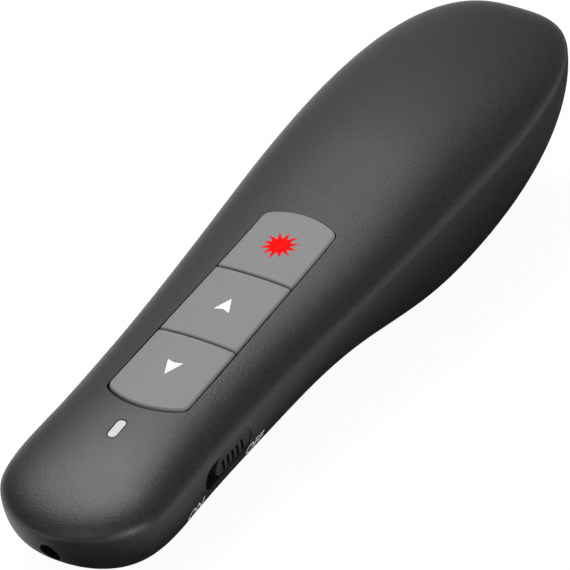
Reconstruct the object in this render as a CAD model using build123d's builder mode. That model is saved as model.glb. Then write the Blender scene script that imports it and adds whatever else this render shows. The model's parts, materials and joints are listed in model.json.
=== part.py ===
from build123d import *
from math import atan2, cos, pi, radians, sin
import os

# Wireless presentation clicker, in millimetres.
# It is modelled in the housing's own axes: Y runs from the nose (0) to the tail, X points
# to the power switch, Z points up out of the keys, and the seam between the two shells is
# the plane Z = 0. Every piece is set down on the table in one step, when it is exported.

# ---- Housing form ----
length = 127.0
grip_half_width = 12.5
palm_half_width = 16.0
grip_height = 4.8
palm_height = 6.1
grip_depth = 11.6
palm_depth = 19.6
# Where the palm's swell is full, measured from the tail, and how long it takes to rise.
width_full = 30.5
width_rise = 70.0
height_full = 37.0
height_rise = 32.0
depth_full = 38.0
# The underside starts to deepen this far in front of the battery bay.
depth_lead = 10.8
# How far each end closes in, and the power of its rounding, in plan, above and below.
nose_plan_reach = 10.7
nose_plan_power = 1.9
tail_plan_reach = 35.0
tail_plan_power = 2.7
nose_top_reach = 25.0
nose_top_power = 2.1
tail_top_reach = 42.6
tail_top_power = 1.7
nose_under_reach = 17.4
nose_under_power = 2.0
tail_under_reach = 35.5
tail_under_power = 2.0
# Fullness of the cross-section's corners.
upper_side_pull = 0.60
upper_crown_pull = 0.70
lower_side_pull = 0.66
lower_belly_pull = 0.63
# Angles that space the cross-sections along the rounded ends.
nose_angles = (3, 10, 20, 33, 50, 70, 90)
tail_angles = (90, 66, 47, 32, 20, 11, 5, 2)
middle_spans = 8

# ---- Shells ----
wall = 1.6
lap_height = 0.8
lap_gap = 0.06
reveal_half_height = 0.06
reveal_depth = 0.2
fit_gap = 0.12
front_land_y = 14.5
belly_land_setback = 42.5
land_cut = 0.4

# ---- Key panel ----
panel_nose_y = 23.9
panel_nose_bow = 2.3
panel_nose_half_width = 6.6
panel_tail_y = 68.05
panel_tail_bow = 1.45
panel_tail_half_width = 6.0
panel_corner_radius = 0.9
first_split_y = 39.6
second_split_y = 54.4
key_gap = 0.22
key_proud = 0.4
key_edge_radius = 0.35
key_cap_thickness = 1.3
key_skirt = 1.0
key_flange_reach = 0.8
key_flange_thickness = 0.55
key_travel = 0.3
key_stem_radius = 1.4

# ---- Circuit board and what it carries ----
board_top = 0.8
board_thickness = 1.0
board_nose_y = 16.2
board_tail_reach = 5.4
board_margin = 2.0
board_half_width = 9.6
board_corner_radius = 1.2
board_screw_x = 7.2
board_screw_y = 19.0
board_screw_radius = 0.8
board_screw_head_radius = 1.4
board_screw_head_height = 0.8
board_screw_length = 5.0
board_post_radius = 1.9
tact_size = 4.5
tact_height = 0.7
tact_corner = 0.5
tact_floor = 0.1
plunger_radius = 0.9
plunger_rise = 0.4
plunger_gap = 0.05
window_y = 19.0
window_length = 3.5
window_width = 1.35
window_gap = 0.05
window_recess = 0.05
window_flange = 0.6
window_flange_z = 2.2
window_flange_thickness = 0.5
led_length = 1.6
led_width = 0.8
led_height = 0.6
chip_x = -1.2
chip_setback = 14.8
chip_size = 5.0
chip_height = 0.9
crystal_spacing = 6.5
crystal_length = 3.2
crystal_width = 2.5
crystal_height = 0.7
capacitor_x = 3.4
capacitor_length = 1.6
capacitor_width = 0.8
capacitor_pitch = 2.2
capacitor_count = 4
antenna_x = -6.2
antenna_y = 26.0
antenna_width = 4.0
antenna_pitch = 1.6
antenna_turns = 5
antenna_strip_width = 0.6
antenna_thickness = 0.15

# ---- Power switch ----
switch_slot_y = 26.6
switch_slot_length = 12.0
switch_slot_height = 3.9
switch_z = -2.2
knob_length = 8.9
knob_gap = 0.12
knob_end_gap = 0.3
knob_recess = 0.15
knob_root_x = 9.8
knob_flange_thickness = 0.7
knob_flange_reach = 0.9
groove_count = 5
groove_pitch = 1.17
groove_width = 0.5
groove_depth = 0.4
groove_height = 2.3
groove_shift = 0.4
switch_case_x = 7.3
switch_case_width = 3.6
switch_case_length = 9.0
switch_case_height = 3.6
lever_length = 2.0
lever_height = 1.5
lever_gap = 0.1
lever_depth = 1.2
terminal_pitch = 2.5
terminal_size = 0.6
terminal_drop = 1.2

# ---- Laser module ----
laser_z = -3.2
aperture_radius = 1.55
barrel_radius = 3.2
barrel_bore = 2.75
barrel_front_y = 5.2
barrel_length = 10.2
barrel_gap = 0.03
cradle_radius = 4.4
cradle_rib = 1.4
lens_ring_radius = 1.8
lens_ring_thickness = 0.8
lens_radius = 2.6
lens_thickness = 1.6
lens_bulge = 0.5
diode_can_radius = 2.3
diode_can_length = 2.4
diode_flange_radius = 2.7
diode_flange_thickness = 1.0
diode_recess = 0.8
diode_window_radius = 0.8
lead_radius = 0.25
lead_spread = 1.27
lead_run = 2.6
lead_bend = 0.8

# ---- Cells and contacts ----
cell_radius = 5.1
cell_length = 44.5
cell_edge = 0.4
cell_nub_radius = 1.9
cell_nub_height = 0.8
cell_x = 5.2
cell_z = -5.5
cell_gap = 0.1
bay_wall = 1.0
bay_half_width = 10.6
bay_corner_radius = 1.8
ceiling_gap = 0.3
bay_to_plug = 1.45
contact_thickness = 0.3
contact_width = 6.0
contact_height = 6.0
contact_space = 0.9
leaf_half_width = 2.6
tab_width = 2.0

# ---- Battery cover ----
cover_gap = 0.2
cover_wall = 1.5
cover_rib_thickness = 1.2
cover_rib_spacing = 12.0
saddle_drop = 3.2
arm_width = 3.0
arm_thickness = 0.6
scoop_setback = 7.0
scoop_radius = 9.0
scoop_depth = 0.7
scoop_half_width = 5.0

# ---- Housing screws ----
screw_x = 9.0
screw_setback = 3.8
screw_radius = 0.8
screw_head_radius = 1.4
screw_head_height = 1.0
screw_seat_z = -5.5
screw_tip_z = 1.6
screw_post_radius = 1.6
screw_gap = 0.15
pilot_gap = 0.02
driver_slot_length = 2.0
driver_slot_width = 0.4
driver_slot_depth = 0.5

# ---- USB receiver ----
receiver_width = 14.4
receiver_height = 6.0
receiver_z = -4.3
receiver_edge = 0.5
plug_width = 12.0
plug_height = 4.5
plug_length = 11.9
plug_skin = 0.3
plug_mouth_setback = 17.7
plug_hole = 1.8
plug_hole_x = 2.9
plug_hole_y = 4.0
tongue_thickness = 1.8
tongue_setback = 0.4
usb_contact_count = 4
usb_contact_width = 1.0
usb_contact_pitch = 2.3
usb_contact_length = 7.0
usb_contact_thickness = 0.15
receiver_board_width = 10.4
receiver_board_thickness = 0.8
receiver_board_length = 6.5
receiver_board_reach = 3.0
receiver_gap = 0.15
receiver_bay_wall = 1.1
cap_recess = 0.1

# ---- Places that follow from the sizes above ----
board_bottom = board_top - board_thickness
key_floor = board_top + tact_height + plunger_rise
key_pocket_top = grip_height + key_proud - key_cap_thickness
key_spans = {
    "page_up": (panel_nose_y, first_split_y),
    "page_down": (first_split_y, second_split_y),
    "laser": (second_split_y, panel_tail_y),
}
key_middles = {name: (low + high) / 2 for name, (low, high) in key_spans.items()}
# The receiver sits at the tail, the cells in front of it, and the board reaches over
# the cells' front contacts and past the last key's switch.
plug_mouth_y = length - plug_mouth_setback
bay_tail_y = plug_mouth_y - receiver_gap - bay_to_plug
cell_tail_y = bay_tail_y - contact_space - contact_thickness
cell_front_y = cell_tail_y - cell_length
bay_front_y = cell_front_y - contact_space - contact_thickness
bay_length = bay_tail_y - bay_front_y
board_tail_y = max(
    bay_front_y + board_tail_reach, key_middles["laser"] + tact_size / 2 + board_margin
)
ceiling_front_y = board_tail_y + ceiling_gap
chip_y = bay_front_y - chip_setback
crystal_y = chip_y - crystal_spacing
screw_y = bay_front_y - screw_setback
belly_land_y = length - belly_land_setback
width_end = length - width_full
width_start = width_end - width_rise
height_end = length - height_full
height_start = height_end - height_rise
depth_end = length - depth_full
depth_start = bay_front_y - depth_lead
panel_nose_corner_y = panel_nose_y + panel_nose_bow
panel_tail_corner_y = panel_tail_y - panel_tail_bow
bay_middle_y = (bay_front_y + bay_tail_y) / 2
ceiling_bottom = cell_z + cell_radius + cell_gap
knob_y = switch_slot_y + switch_slot_length / 2 - knob_end_gap - knob_length / 2
knob_travel = switch_slot_length - knob_length - 2 * knob_end_gap
case_side_x = switch_case_x + switch_case_width / 2
cap_front_y = plug_mouth_y + plug_length
barrel_tail_y = barrel_front_y + barrel_length
lens_bulge_edge = lens_ring_radius - barrel_gap
lens_bulge_radius = (lens_bulge_edge**2 + lens_bulge**2) / (2 * lens_bulge)
contact_low_z = cell_z - contact_height / 2
screw_places = [(-screw_x, screw_y), (screw_x, screw_y)]
board_screw_places = [(-board_screw_x, board_screw_y), (board_screw_x, board_screw_y)]
tact_places = [(0, y) for y in key_middles.values()]
# Sketch planes across the housing, which build towards the tail.
laser_plane = Plane(origin=(0, 0, laser_z), x_dir=(1, 0, 0), z_dir=(0, 1, 0))
cell_plane = Plane(origin=(0, 0, cell_z), x_dir=(1, 0, 0), z_dir=(0, 1, 0))
receiver_plane = Plane(origin=(0, 0, receiver_z), x_dir=(1, 0, 0), z_dir=(0, 1, 0))
# Sketch plane that looks in at the switch side: its X is Y, and its Y is Z.
side_plane = Plane.YZ
everything = 4 * length


def blend(y, start, end):
    """Smooth rise from 0 before start to 1 past end."""
    share = min(1.0, max(0.0, (y - start) / (end - start)))
    return 0.5 - 0.5 * cos(pi * share)


def closing(distance, reach, power):
    """Rounded closing of an end: 0 at the tip, 1 from reach inwards."""
    share = min(1.0, max(0.0, 1 - distance / reach))
    return (1 - share**power) ** (1 / power)


def section_sizes(y, inset):
    """Half width, height and depth of the form at y, its skin moved inwards by inset."""
    from_nose = y - inset
    from_tail = length - inset - y
    half_width = grip_half_width - inset
    half_width += (palm_half_width - grip_half_width) * blend(y, width_start, width_end)
    half_width *= closing(from_nose, nose_plan_reach - inset, nose_plan_power)
    half_width *= closing(from_tail, tail_plan_reach - inset, tail_plan_power)
    height = grip_height - inset
    height += (palm_height - grip_height) * blend(y, height_start, height_end)
    height *= closing(from_nose, nose_top_reach - inset, nose_top_power)
    height *= closing(from_tail, tail_top_reach - inset, tail_top_power)
    depth = grip_depth - inset
    depth += (palm_depth - grip_depth) * blend(y, depth_start, depth_end)
    depth *= closing(from_nose, nose_under_reach - inset, nose_under_power)
    depth *= closing(from_tail, tail_under_reach - inset, tail_under_power)
    return half_width, height, depth


def stations(inset):
    """Where the cross-sections stand: close together at the rounded ends."""
    nose_reach = nose_plan_reach - inset
    tail_reach = tail_plan_reach - inset
    nose = [inset + nose_reach * (1 - cos(radians(a))) for a in nose_angles]
    tail = [length - inset - tail_reach * (1 - cos(radians(a))) for a in tail_angles]
    step = (tail[0] - nose[-1]) / middle_spans
    middle = [nose[-1] + step * count for count in range(1, middle_spans)]
    return nose + middle + tail


def body_form(inset):
    """Solid of the housing's form, its skin moved inwards by inset."""
    with BuildPart() as form:
        for y in stations(inset):
            w, h, d = section_sizes(y, inset)
            across = upper_crown_pull * w
            under = lower_belly_pull * w
            with BuildSketch(Plane(origin=(0, y, 0), x_dir=(1, 0, 0), z_dir=(0, -1, 0))):
                with BuildLine():
                    Bezier((w, 0), (w, upper_side_pull * h), (across, h), (0, h))
                    Bezier((0, h), (-across, h), (-w, upper_side_pull * h), (-w, 0))
                    Bezier((-w, 0), (-w, -lower_side_pull * d), (-under, -d), (0, -d))
                    Bezier((0, -d), (under, -d), (w, -lower_side_pull * d), (w, 0))
                make_face()
        loft()
    return form.part


def layer(form, low, high):
    """The slice of a form between two heights."""
    with BuildPart() as cut:
        with BuildSketch(Plane.XY.offset(low)):
            Rectangle(everything, everything)
        extrude(amount=high - low)
        add(form, mode=Mode.INTERSECT)
    return cut.part


outer_form = body_form(0)
cavity_form = body_form(wall)
groove_form = body_form(wall / 2)
tongue_form = body_form(wall / 2 + lap_gap)
reveal_form = body_form(reveal_depth)
fit_form = body_form(wall + fit_gap)
key_form = body_form(-key_proud)
knob_form = body_form(knob_recess)
window_form = body_form(window_recess)
cap_form = body_form(cap_recess)
cover_cavity_form = body_form(cover_wall)

# The table touches the nose's underside and the belly, and its plane cuts a land on each.
front_land_z = land_cut - section_sizes(front_land_y, 0)[2]
belly_land_z = land_cut - section_sizes(belly_land_y, 0)[2]
rest_tilt = atan2(front_land_z - belly_land_z, belly_land_y - front_land_y)
table = Plane(
    origin=(0, front_land_y, front_land_z),
    x_dir=(1, 0, 0),
    z_dir=(0, sin(rest_tilt), cos(rest_tilt)),
)


def posts(places, radius, low, high):
    """Round posts between two heights."""
    with BuildPart() as columns:
        with BuildSketch(Plane.XY.offset(low)):
            with Locations(*places):
                Circle(radius)
        extrude(amount=high - low)
    return columns.part


def panel_outline(low_y, high_y, shrink, corner):
    """Outline of the key panel from low_y to high_y, its sides drawn in by shrink."""
    with BuildSketch() as outline:
        with BuildLine():
            nose_left = (-panel_nose_half_width, panel_nose_corner_y)
            nose_right = (panel_nose_half_width, panel_nose_corner_y)
            tail_left = (-panel_tail_half_width, panel_tail_corner_y)
            tail_right = (panel_tail_half_width, panel_tail_corner_y)
            ThreePointArc(nose_left, (0, panel_nose_y), nose_right)
            Line(nose_right, tail_right)
            ThreePointArc(tail_right, (0, panel_tail_y), tail_left)
            Line(tail_left, nose_left)
        make_face()
        if shrink:
            offset(amount=-shrink, kind=Kind.INTERSECTION)
        with Locations((0, (low_y + high_y) / 2)):
            Rectangle(everything, high_y - low_y, mode=Mode.INTERSECT)
        fillet(outline.vertices(), corner)
    return outline.sketch

# ---- Narrow reveal round the seam, cut half from each shell ----
with BuildPart() as seam_reveal:
    with BuildSketch(Plane.XY.offset(-reveal_half_height)):
        Rectangle(everything, everything)
    extrude(amount=2 * reveal_half_height)
    add(reveal_form, mode=Mode.SUBTRACT)

# ---- Top shell ----
with BuildPart() as top_hollow:
    # The inside, with a rebate over the lap of the bottom shell, less the screw posts.
    add(cavity_form)
    add(layer(groove_form, -lap_height, lap_height))
    add(posts(screw_places, screw_post_radius, -palm_depth, palm_height), mode=Mode.SUBTRACT)
with BuildPart() as top_shell:
    add(outer_form)
    split(bisect_by=Plane.XY, keep=Keep.TOP)
    add(top_hollow.part, mode=Mode.SUBTRACT)
    add(seam_reveal.part, mode=Mode.SUBTRACT)
    # One long opening for the three keys, and the slot of the status window.
    with BuildSketch(Plane.XY):
        add(panel_outline(0, length, 0, panel_corner_radius))
        with Locations((0, window_y)):
            SlotOverall(window_length + 2 * window_gap, window_width + 2 * window_gap, rotation=90)
    extrude(amount=2 * palm_height, mode=Mode.SUBTRACT)
    with BuildSketch(Plane.XY):
        with Locations(*screw_places):
            Circle(screw_radius + pilot_gap)
    extrude(amount=screw_tip_z + pilot_gap, mode=Mode.SUBTRACT)

# ---- Bottom shell ----
with BuildPart() as bottom_ribs:
    # Walls round the cells, with the ceiling behind the circuit board.
    with BuildSketch(Plane.XY.offset(board_bottom)):
        with Locations((0, bay_middle_y)):
            Rectangle(2 * (bay_half_width + bay_wall), bay_length + 2 * bay_wall)
    extrude(amount=-2 * palm_depth)
    with BuildSketch(Plane.XY.offset(board_bottom)):
        with Locations((0, (ceiling_front_y + bay_tail_y + bay_wall) / 2)):
            Rectangle(2 * (bay_half_width + bay_wall), bay_tail_y + bay_wall - ceiling_front_y)
    extrude(amount=ceiling_bottom + bay_wall - board_bottom)
    # Round cradle of the laser barrel, and a rib under its rear end.
    with BuildSketch(laser_plane):
        Circle(cradle_radius)
    extrude(amount=barrel_front_y + barrel_length / 2)
    with BuildSketch(laser_plane.offset(barrel_tail_y - cradle_rib)):
        Rectangle(2 * cradle_radius, 4 * grip_depth)
    extrude(amount=cradle_rib)
    # Sleeve round the receiver.
    with BuildSketch(receiver_plane.offset(bay_tail_y)):
        Rectangle(
            receiver_width + 2 * (receiver_gap + receiver_bay_wall),
            receiver_height + 2 * (receiver_gap + receiver_bay_wall),
        )
    extrude(amount=length)
    # The laser cradle and the sleeve stay under the seam.
    with BuildSketch(Plane.XY.offset(-lap_gap)):
        with Locations((0, ceiling_front_y - length)):
            Rectangle(everything, 2 * length)
        with Locations((0, bay_tail_y + bay_wall + length)):
            Rectangle(everything, 2 * length)
    extrude(amount=palm_height, mode=Mode.SUBTRACT)
    add(posts(screw_places, screw_post_radius, -2 * palm_depth, board_bottom))
    add(posts(board_screw_places, board_post_radius, -2 * palm_depth, board_bottom))
with BuildPart() as bottom_hollow:
    add(cavity_form)
    add(bottom_ribs.part, mode=Mode.SUBTRACT)
with BuildPart() as bottom_shell:
    add(outer_form)
    split(bisect_by=Plane.XY, keep=Keep.BOTTOM)
    add(seam_reveal.part, mode=Mode.SUBTRACT)
    # Lap that stands up inside the top shell.
    add(layer(tongue_form, 0, lap_height - lap_gap))
    add(bottom_hollow.part, mode=Mode.SUBTRACT)
    # Laser aperture and the seat of the barrel.
    with BuildSketch(laser_plane):
        Circle(aperture_radius)
    extrude(amount=barrel_front_y, mode=Mode.SUBTRACT)
    with BuildSketch(laser_plane.offset(barrel_front_y)):
        Circle(barrel_radius + barrel_gap)
    extrude(amount=barrel_length + cradle_rib, mode=Mode.SUBTRACT)
    # Slot of the power switch.
    with BuildSketch(side_plane.offset(knob_root_x)):
        with Locations((switch_slot_y, switch_z)):
            SlotOverall(switch_slot_length, switch_slot_height)
    extrude(amount=palm_half_width, mode=Mode.SUBTRACT)
    # Mouth of the battery bay, through the belly. Over the front of the cells there is
    # only the circuit board.
    with BuildSketch(Plane.XY.offset(ceiling_bottom)):
        with Locations((0, bay_middle_y)):
            RectangleRounded(2 * bay_half_width, bay_length, bay_corner_radius)
    extrude(amount=-palm_depth, mode=Mode.SUBTRACT)
    with BuildSketch(Plane.XY.offset(ceiling_bottom)):
        with Locations((0, (bay_front_y + ceiling_front_y) / 2)):
            Rectangle(2 * bay_half_width, ceiling_front_y - bay_front_y)
    extrude(amount=bay_wall, mode=Mode.SUBTRACT)
    # Pocket of the receiver: close round the plug, wider round the cap.
    with BuildSketch(receiver_plane.offset(plug_mouth_y - receiver_gap)):
        Rectangle(plug_width + 2 * receiver_gap, plug_height + 2 * receiver_gap)
    extrude(amount=length, mode=Mode.SUBTRACT)
    with BuildSketch(receiver_plane.offset(cap_front_y - receiver_gap)):
        Rectangle(receiver_width + 2 * receiver_gap, receiver_height + 2 * receiver_gap)
    extrude(amount=length, mode=Mode.SUBTRACT)
    # Housing screws: a clearance bore, and a head recess from below.
    with BuildSketch(Plane.XY.offset(board_bottom)):
        with Locations(*screw_places):
            Circle(screw_radius + screw_gap)
    extrude(amount=screw_seat_z - board_bottom, mode=Mode.SUBTRACT)
    with BuildSketch(Plane.XY.offset(screw_seat_z)):
        with Locations(*screw_places):
            Circle(screw_head_radius + screw_gap)
    extrude(amount=-palm_depth, mode=Mode.SUBTRACT)
    with BuildSketch(Plane.XY.offset(board_bottom)):
        with Locations(*board_screw_places):
            Circle(board_screw_radius + pilot_gap)
    extrude(amount=-board_screw_length, mode=Mode.SUBTRACT)
    split(bisect_by=table, keep=Keep.TOP)

# ---- Battery cover ----
with BuildPart() as cover_ribs:
    # Cross ribs whose saddles carry the cells.
    rib_count = int((cell_length - cover_rib_thickness) // cover_rib_spacing)
    with BuildSketch(Plane.XY.offset(cell_z - saddle_drop)):
        with Locations((0, bay_middle_y)):
            with GridLocations(0, cover_rib_spacing, 1, rib_count):
                Rectangle(everything, cover_rib_thickness)
    extrude(amount=-palm_depth)
    with BuildSketch(cell_plane.offset(bay_front_y)):
        with Locations((-cell_x, 0), (cell_x, 0)):
            Circle(cell_radius + cell_gap)
    extrude(amount=bay_length, mode=Mode.SUBTRACT)
    # Snap arms that stand up along the end walls, between the contacts.
    arm_y = bay_length / 2 - cover_gap - arm_thickness / 2
    with BuildSketch(Plane.XY.offset(cell_z - saddle_drop)):
        with Locations((0, bay_middle_y - arm_y), (0, bay_middle_y + arm_y)):
            Rectangle(arm_width, arm_thickness)
    extrude(amount=-palm_depth)
with BuildPart() as cover_hollow:
    add(cover_cavity_form)
    add(cover_ribs.part, mode=Mode.SUBTRACT)
with BuildPart() as battery_cover:
    with BuildSketch(Plane.XY.offset(cell_z - saddle_drop)):
        with Locations((0, bay_middle_y)):
            RectangleRounded(
                2 * (bay_half_width - cover_gap), bay_length - 2 * cover_gap, bay_corner_radius
            )
    extrude(amount=-palm_depth)
    add(outer_form, mode=Mode.INTERSECT)
    add(cover_hollow.part, mode=Mode.SUBTRACT)
    # Thumb scoop near the tail end, to pull the cover off by.
    scoop_y = bay_tail_y - scoop_setback
    scoop_z = scoop_depth - scoop_radius - section_sizes(scoop_y, 0)[2]
    with BuildSketch(Plane.YZ.offset(-scoop_half_width)):
        with Locations((scoop_y, scoop_z)):
            Circle(scoop_radius)
    extrude(amount=2 * scoop_half_width, mode=Mode.SUBTRACT)
    split(bisect_by=table, keep=Keep.TOP)


# ---- Keys ----
def key_flange(low_y, high_y):
    """The lip round a key's foot, under the top shell's skin."""
    with BuildPart() as flange:
        with BuildSketch(Plane.XY.offset(key_floor)):
            add(panel_outline(low_y, high_y, -key_flange_reach, panel_corner_radius))
        extrude(amount=key_flange_thickness)
        add(fit_form, mode=Mode.INTERSECT)
    return flange.part


def make_key(start_y, end_y, stem_y):
    """A hollow key: proud cap with softened edges, skirt, flange that keeps it in, and stem."""
    low_y = start_y + key_gap
    high_y = end_y - key_gap
    with BuildPart() as key:
        with BuildSketch(Plane.XY.offset(key_floor)):
            add(panel_outline(low_y, high_y, key_gap, panel_corner_radius))
        extrude(amount=palm_height)
        add(key_form, mode=Mode.INTERSECT)
        fillet(key.faces().sort_by(Axis.Z)[-1].edges(), key_edge_radius)
        add(key_flange(low_y, high_y))
        with BuildSketch(Plane.XY.offset(key_floor)):
            inner_low_y = low_y + key_skirt
            inner_high_y = high_y - key_skirt
            add(panel_outline(inner_low_y, inner_high_y, key_gap + key_skirt, key_gap))
            with Locations((0, stem_y)):
                Circle(key_stem_radius, mode=Mode.SUBTRACT)
        extrude(amount=key_pocket_top - key_floor, mode=Mode.SUBTRACT)
    return key.part


keys = {}
for name, (start_y, end_y) in key_spans.items():
    keys[name] = make_key(start_y, end_y, key_middles[name])

# ---- Switches under the keys ----
with BuildPart() as button_switch_bases:
    with BuildSketch(Plane.XY.offset(board_top)):
        with Locations(*tact_places):
            Rectangle(tact_size, tact_size)
    extrude(amount=tact_height)
    chamfer(button_switch_bases.edges().filter_by(Axis.Z), tact_corner)
    with BuildSketch(Plane.XY.offset(board_top + tact_floor)):
        with Locations(*tact_places):
            Circle(plunger_radius + plunger_gap)
    extrude(amount=tact_height, mode=Mode.SUBTRACT)
plungers = {}
for name, middle_y in key_middles.items():
    with BuildPart() as plunger:
        with BuildSketch(Plane.XY.offset(board_top + tact_floor + key_travel + plunger_gap)):
            with Locations((0, middle_y)):
                Circle(plunger_radius)
        extrude(amount=key_floor - board_top - tact_floor - key_travel - plunger_gap)
    plungers[name] = plunger.part

# ---- Status window and its light ----
with BuildPart() as status_window:
    with BuildSketch(Plane.XY.offset(board_top + led_height + window_gap)):
        with Locations((0, window_y)):
            SlotOverall(window_length, window_width, rotation=90)
    extrude(amount=palm_height)
    add(window_form, mode=Mode.INTERSECT)
    with BuildSketch(Plane.XY.offset(window_flange_z)):
        with Locations((0, window_y)):
            SlotOverall(
                window_length + 2 * window_flange, window_width + 2 * window_flange, rotation=90
            )
    extrude(amount=window_flange_thickness)
with BuildPart() as status_led:
    with BuildSketch(Plane.XY.offset(board_top)):
        with Locations((0, window_y)):
            Rectangle(led_width, led_length)
    extrude(amount=led_height)
    chamfer(status_led.faces().sort_by(Axis.Z)[-1].edges(), led_height / 4)

# ---- Circuit board ----
with BuildPart() as circuit_board:
    with BuildSketch(Plane.XY.offset(board_bottom)):
        with Locations((0, (board_nose_y + board_tail_y) / 2)):
            RectangleRounded(
                2 * board_half_width, board_tail_y - board_nose_y, board_corner_radius
            )
        with Locations(*screw_places):
            Circle(screw_post_radius + screw_gap, mode=Mode.SUBTRACT)
        with Locations(*board_screw_places):
            Circle(board_screw_radius + screw_gap, mode=Mode.SUBTRACT)
    extrude(amount=board_thickness)
with BuildPart() as board_screws:
    with BuildSketch(Plane.XY.offset(board_top)):
        with Locations(*board_screw_places):
            Circle(board_screw_head_radius)
    extrude(amount=board_screw_head_height)
    with BuildSketch(Plane.XY.offset(board_top)):
        with Locations(*board_screw_places):
            Circle(board_screw_radius)
    extrude(amount=-board_screw_length)


def chip(middle_x, middle_y, size_x, size_y, height):
    """A package soldered to the board's underside."""
    with BuildPart() as package:
        with BuildSketch(Plane.XY.offset(board_bottom)):
            with Locations((middle_x, middle_y)):
                Rectangle(size_x, size_y)
        extrude(amount=-height)
        chamfer(package.faces().sort_by(Axis.Z)[0].edges(), height / 6)
    return package.part


controller_chip = chip(chip_x, chip_y, chip_size, chip_size, chip_height)
radio_crystal = chip(chip_x, crystal_y, crystal_length, crystal_width, crystal_height)
with BuildPart() as board_capacitors:
    with BuildSketch(Plane.XY.offset(board_bottom)):
        with Locations((capacitor_x, chip_y)):
            with GridLocations(0, capacitor_pitch, 1, capacitor_count):
                Rectangle(capacitor_length, capacitor_width)
    extrude(amount=-capacitor_width)
with BuildPart() as antenna_strip:
    # Flat strip that meanders over the board's underside.
    with BuildSketch(Plane.XY.offset(board_bottom)):
        strip_length = antenna_width + antenna_strip_width
        for count in range(antenna_turns):
            leg_y = antenna_y + count * antenna_pitch
            with Locations((antenna_x, leg_y)):
                Rectangle(strip_length, antenna_strip_width)
            if count:
                side = antenna_width / 2 if count % 2 else -antenna_width / 2
                with Locations((antenna_x + side, leg_y - antenna_pitch / 2)):
                    Rectangle(antenna_strip_width, antenna_pitch)
    extrude(amount=-antenna_thickness)

# ---- Power switch ----
with BuildPart() as slide_switch_case:
    with BuildSketch(Plane.XY.offset(board_bottom)):
        with Locations((switch_case_x, switch_slot_y)):
            Rectangle(switch_case_width, switch_case_length)
    extrude(amount=-switch_case_height)
    with BuildSketch(side_plane.offset(case_side_x)):
        with Locations((switch_slot_y, switch_z)):
            Rectangle(lever_length + knob_travel + 2 * knob_end_gap, lever_height + 2 * lever_gap)
    extrude(amount=-lever_depth - lever_gap, mode=Mode.SUBTRACT)
with BuildPart() as slide_switch_lever:
    with BuildSketch(side_plane.offset(case_side_x - lever_depth)):
        with Locations((knob_y, switch_z)):
            Rectangle(lever_length, lever_height)
    extrude(amount=knob_root_x - case_side_x + lever_depth)
with BuildPart() as slide_switch_terminals:
    terminal_x = switch_case_x - switch_case_width / 2 - terminal_size / 2
    with BuildSketch(Plane.XY.offset(board_bottom)):
        with Locations((terminal_x, switch_slot_y)):
            with GridLocations(0, terminal_pitch, 1, 3):
                Rectangle(terminal_size, terminal_size)
    extrude(amount=-terminal_drop)
with BuildPart() as knob_flange:
    with BuildSketch(side_plane.offset(knob_root_x)):
        with Locations((knob_y, switch_z)):
            SlotOverall(
                knob_length + 2 * knob_flange_reach, switch_slot_height + 2 * knob_flange_reach
            )
    extrude(amount=knob_flange_thickness)
    add(fit_form, mode=Mode.INTERSECT)
with BuildPart() as power_knob:
    with BuildSketch(side_plane.offset(knob_root_x)):
        with Locations((knob_y, switch_z)):
            SlotOverall(knob_length, switch_slot_height - 2 * knob_gap)
    extrude(amount=palm_half_width)
    add(knob_form, mode=Mode.INTERSECT)
    # Grip grooves across the travel.
    groove_floor_x = section_sizes(knob_y, knob_recess + groove_depth)[0]
    with BuildSketch(side_plane.offset(groove_floor_x)):
        with Locations((knob_y - groove_shift, switch_z)):
            with GridLocations(groove_pitch, 0, groove_count, 1):
                Rectangle(groove_width, groove_height)
    extrude(amount=palm_half_width, mode=Mode.SUBTRACT)
    add(knob_flange.part)

# ---- Laser module ----
with BuildPart() as laser_barrel:
    with BuildSketch(laser_plane.offset(barrel_front_y)):
        Circle(barrel_radius)
        Circle(barrel_bore, mode=Mode.SUBTRACT)
    extrude(amount=barrel_length)
    # Step that the lens seats against.
    lens_seat_y = barrel_front_y + lens_ring_thickness + lens_thickness
    with BuildSketch(laser_plane.offset(lens_seat_y)):
        Circle(barrel_radius)
        Circle(lens_ring_radius, mode=Mode.SUBTRACT)
    extrude(amount=lens_ring_thickness)
with BuildPart() as laser_lens_ring:
    with BuildSketch(laser_plane.offset(barrel_front_y)):
        Circle(barrel_bore - barrel_gap)
        Circle(lens_ring_radius, mode=Mode.SUBTRACT)
    extrude(amount=lens_ring_thickness)
with BuildPart() as laser_lens:
    # Flat behind, bulging forwards inside the ring.
    with BuildSketch(Plane.YZ):
        with BuildLine():
            rim_front = (lens_seat_y - lens_thickness, laser_z + lens_radius)
            bulge_edge = (lens_seat_y - lens_thickness, laser_z + lens_ring_radius - barrel_gap)
            bulge_tip = (lens_seat_y - lens_thickness - lens_bulge, laser_z)
            Line((lens_seat_y, laser_z), (lens_seat_y, laser_z + lens_radius))
            Line((lens_seat_y, laser_z + lens_radius), rim_front)
            Line(rim_front, bulge_edge)
            RadiusArc(bulge_edge, bulge_tip, -lens_bulge_radius)
            Line(bulge_tip, (lens_seat_y, laser_z))
        make_face()
    revolve(axis=Axis((0, 0, laser_z), (0, 1, 0)))
with BuildPart() as laser_diode:
    flange_y = barrel_tail_y - diode_recess - diode_flange_thickness
    with BuildSketch(laser_plane.offset(flange_y)):
        Circle(diode_flange_radius)
    extrude(amount=diode_flange_thickness)
    with BuildSketch(laser_plane.offset(flange_y)):
        Circle(diode_can_radius)
    extrude(amount=-diode_can_length)
    with BuildSketch(laser_plane.offset(flange_y - diode_can_length)):
        Circle(diode_window_radius)
    extrude(amount=lead_radius, mode=Mode.SUBTRACT)
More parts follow.
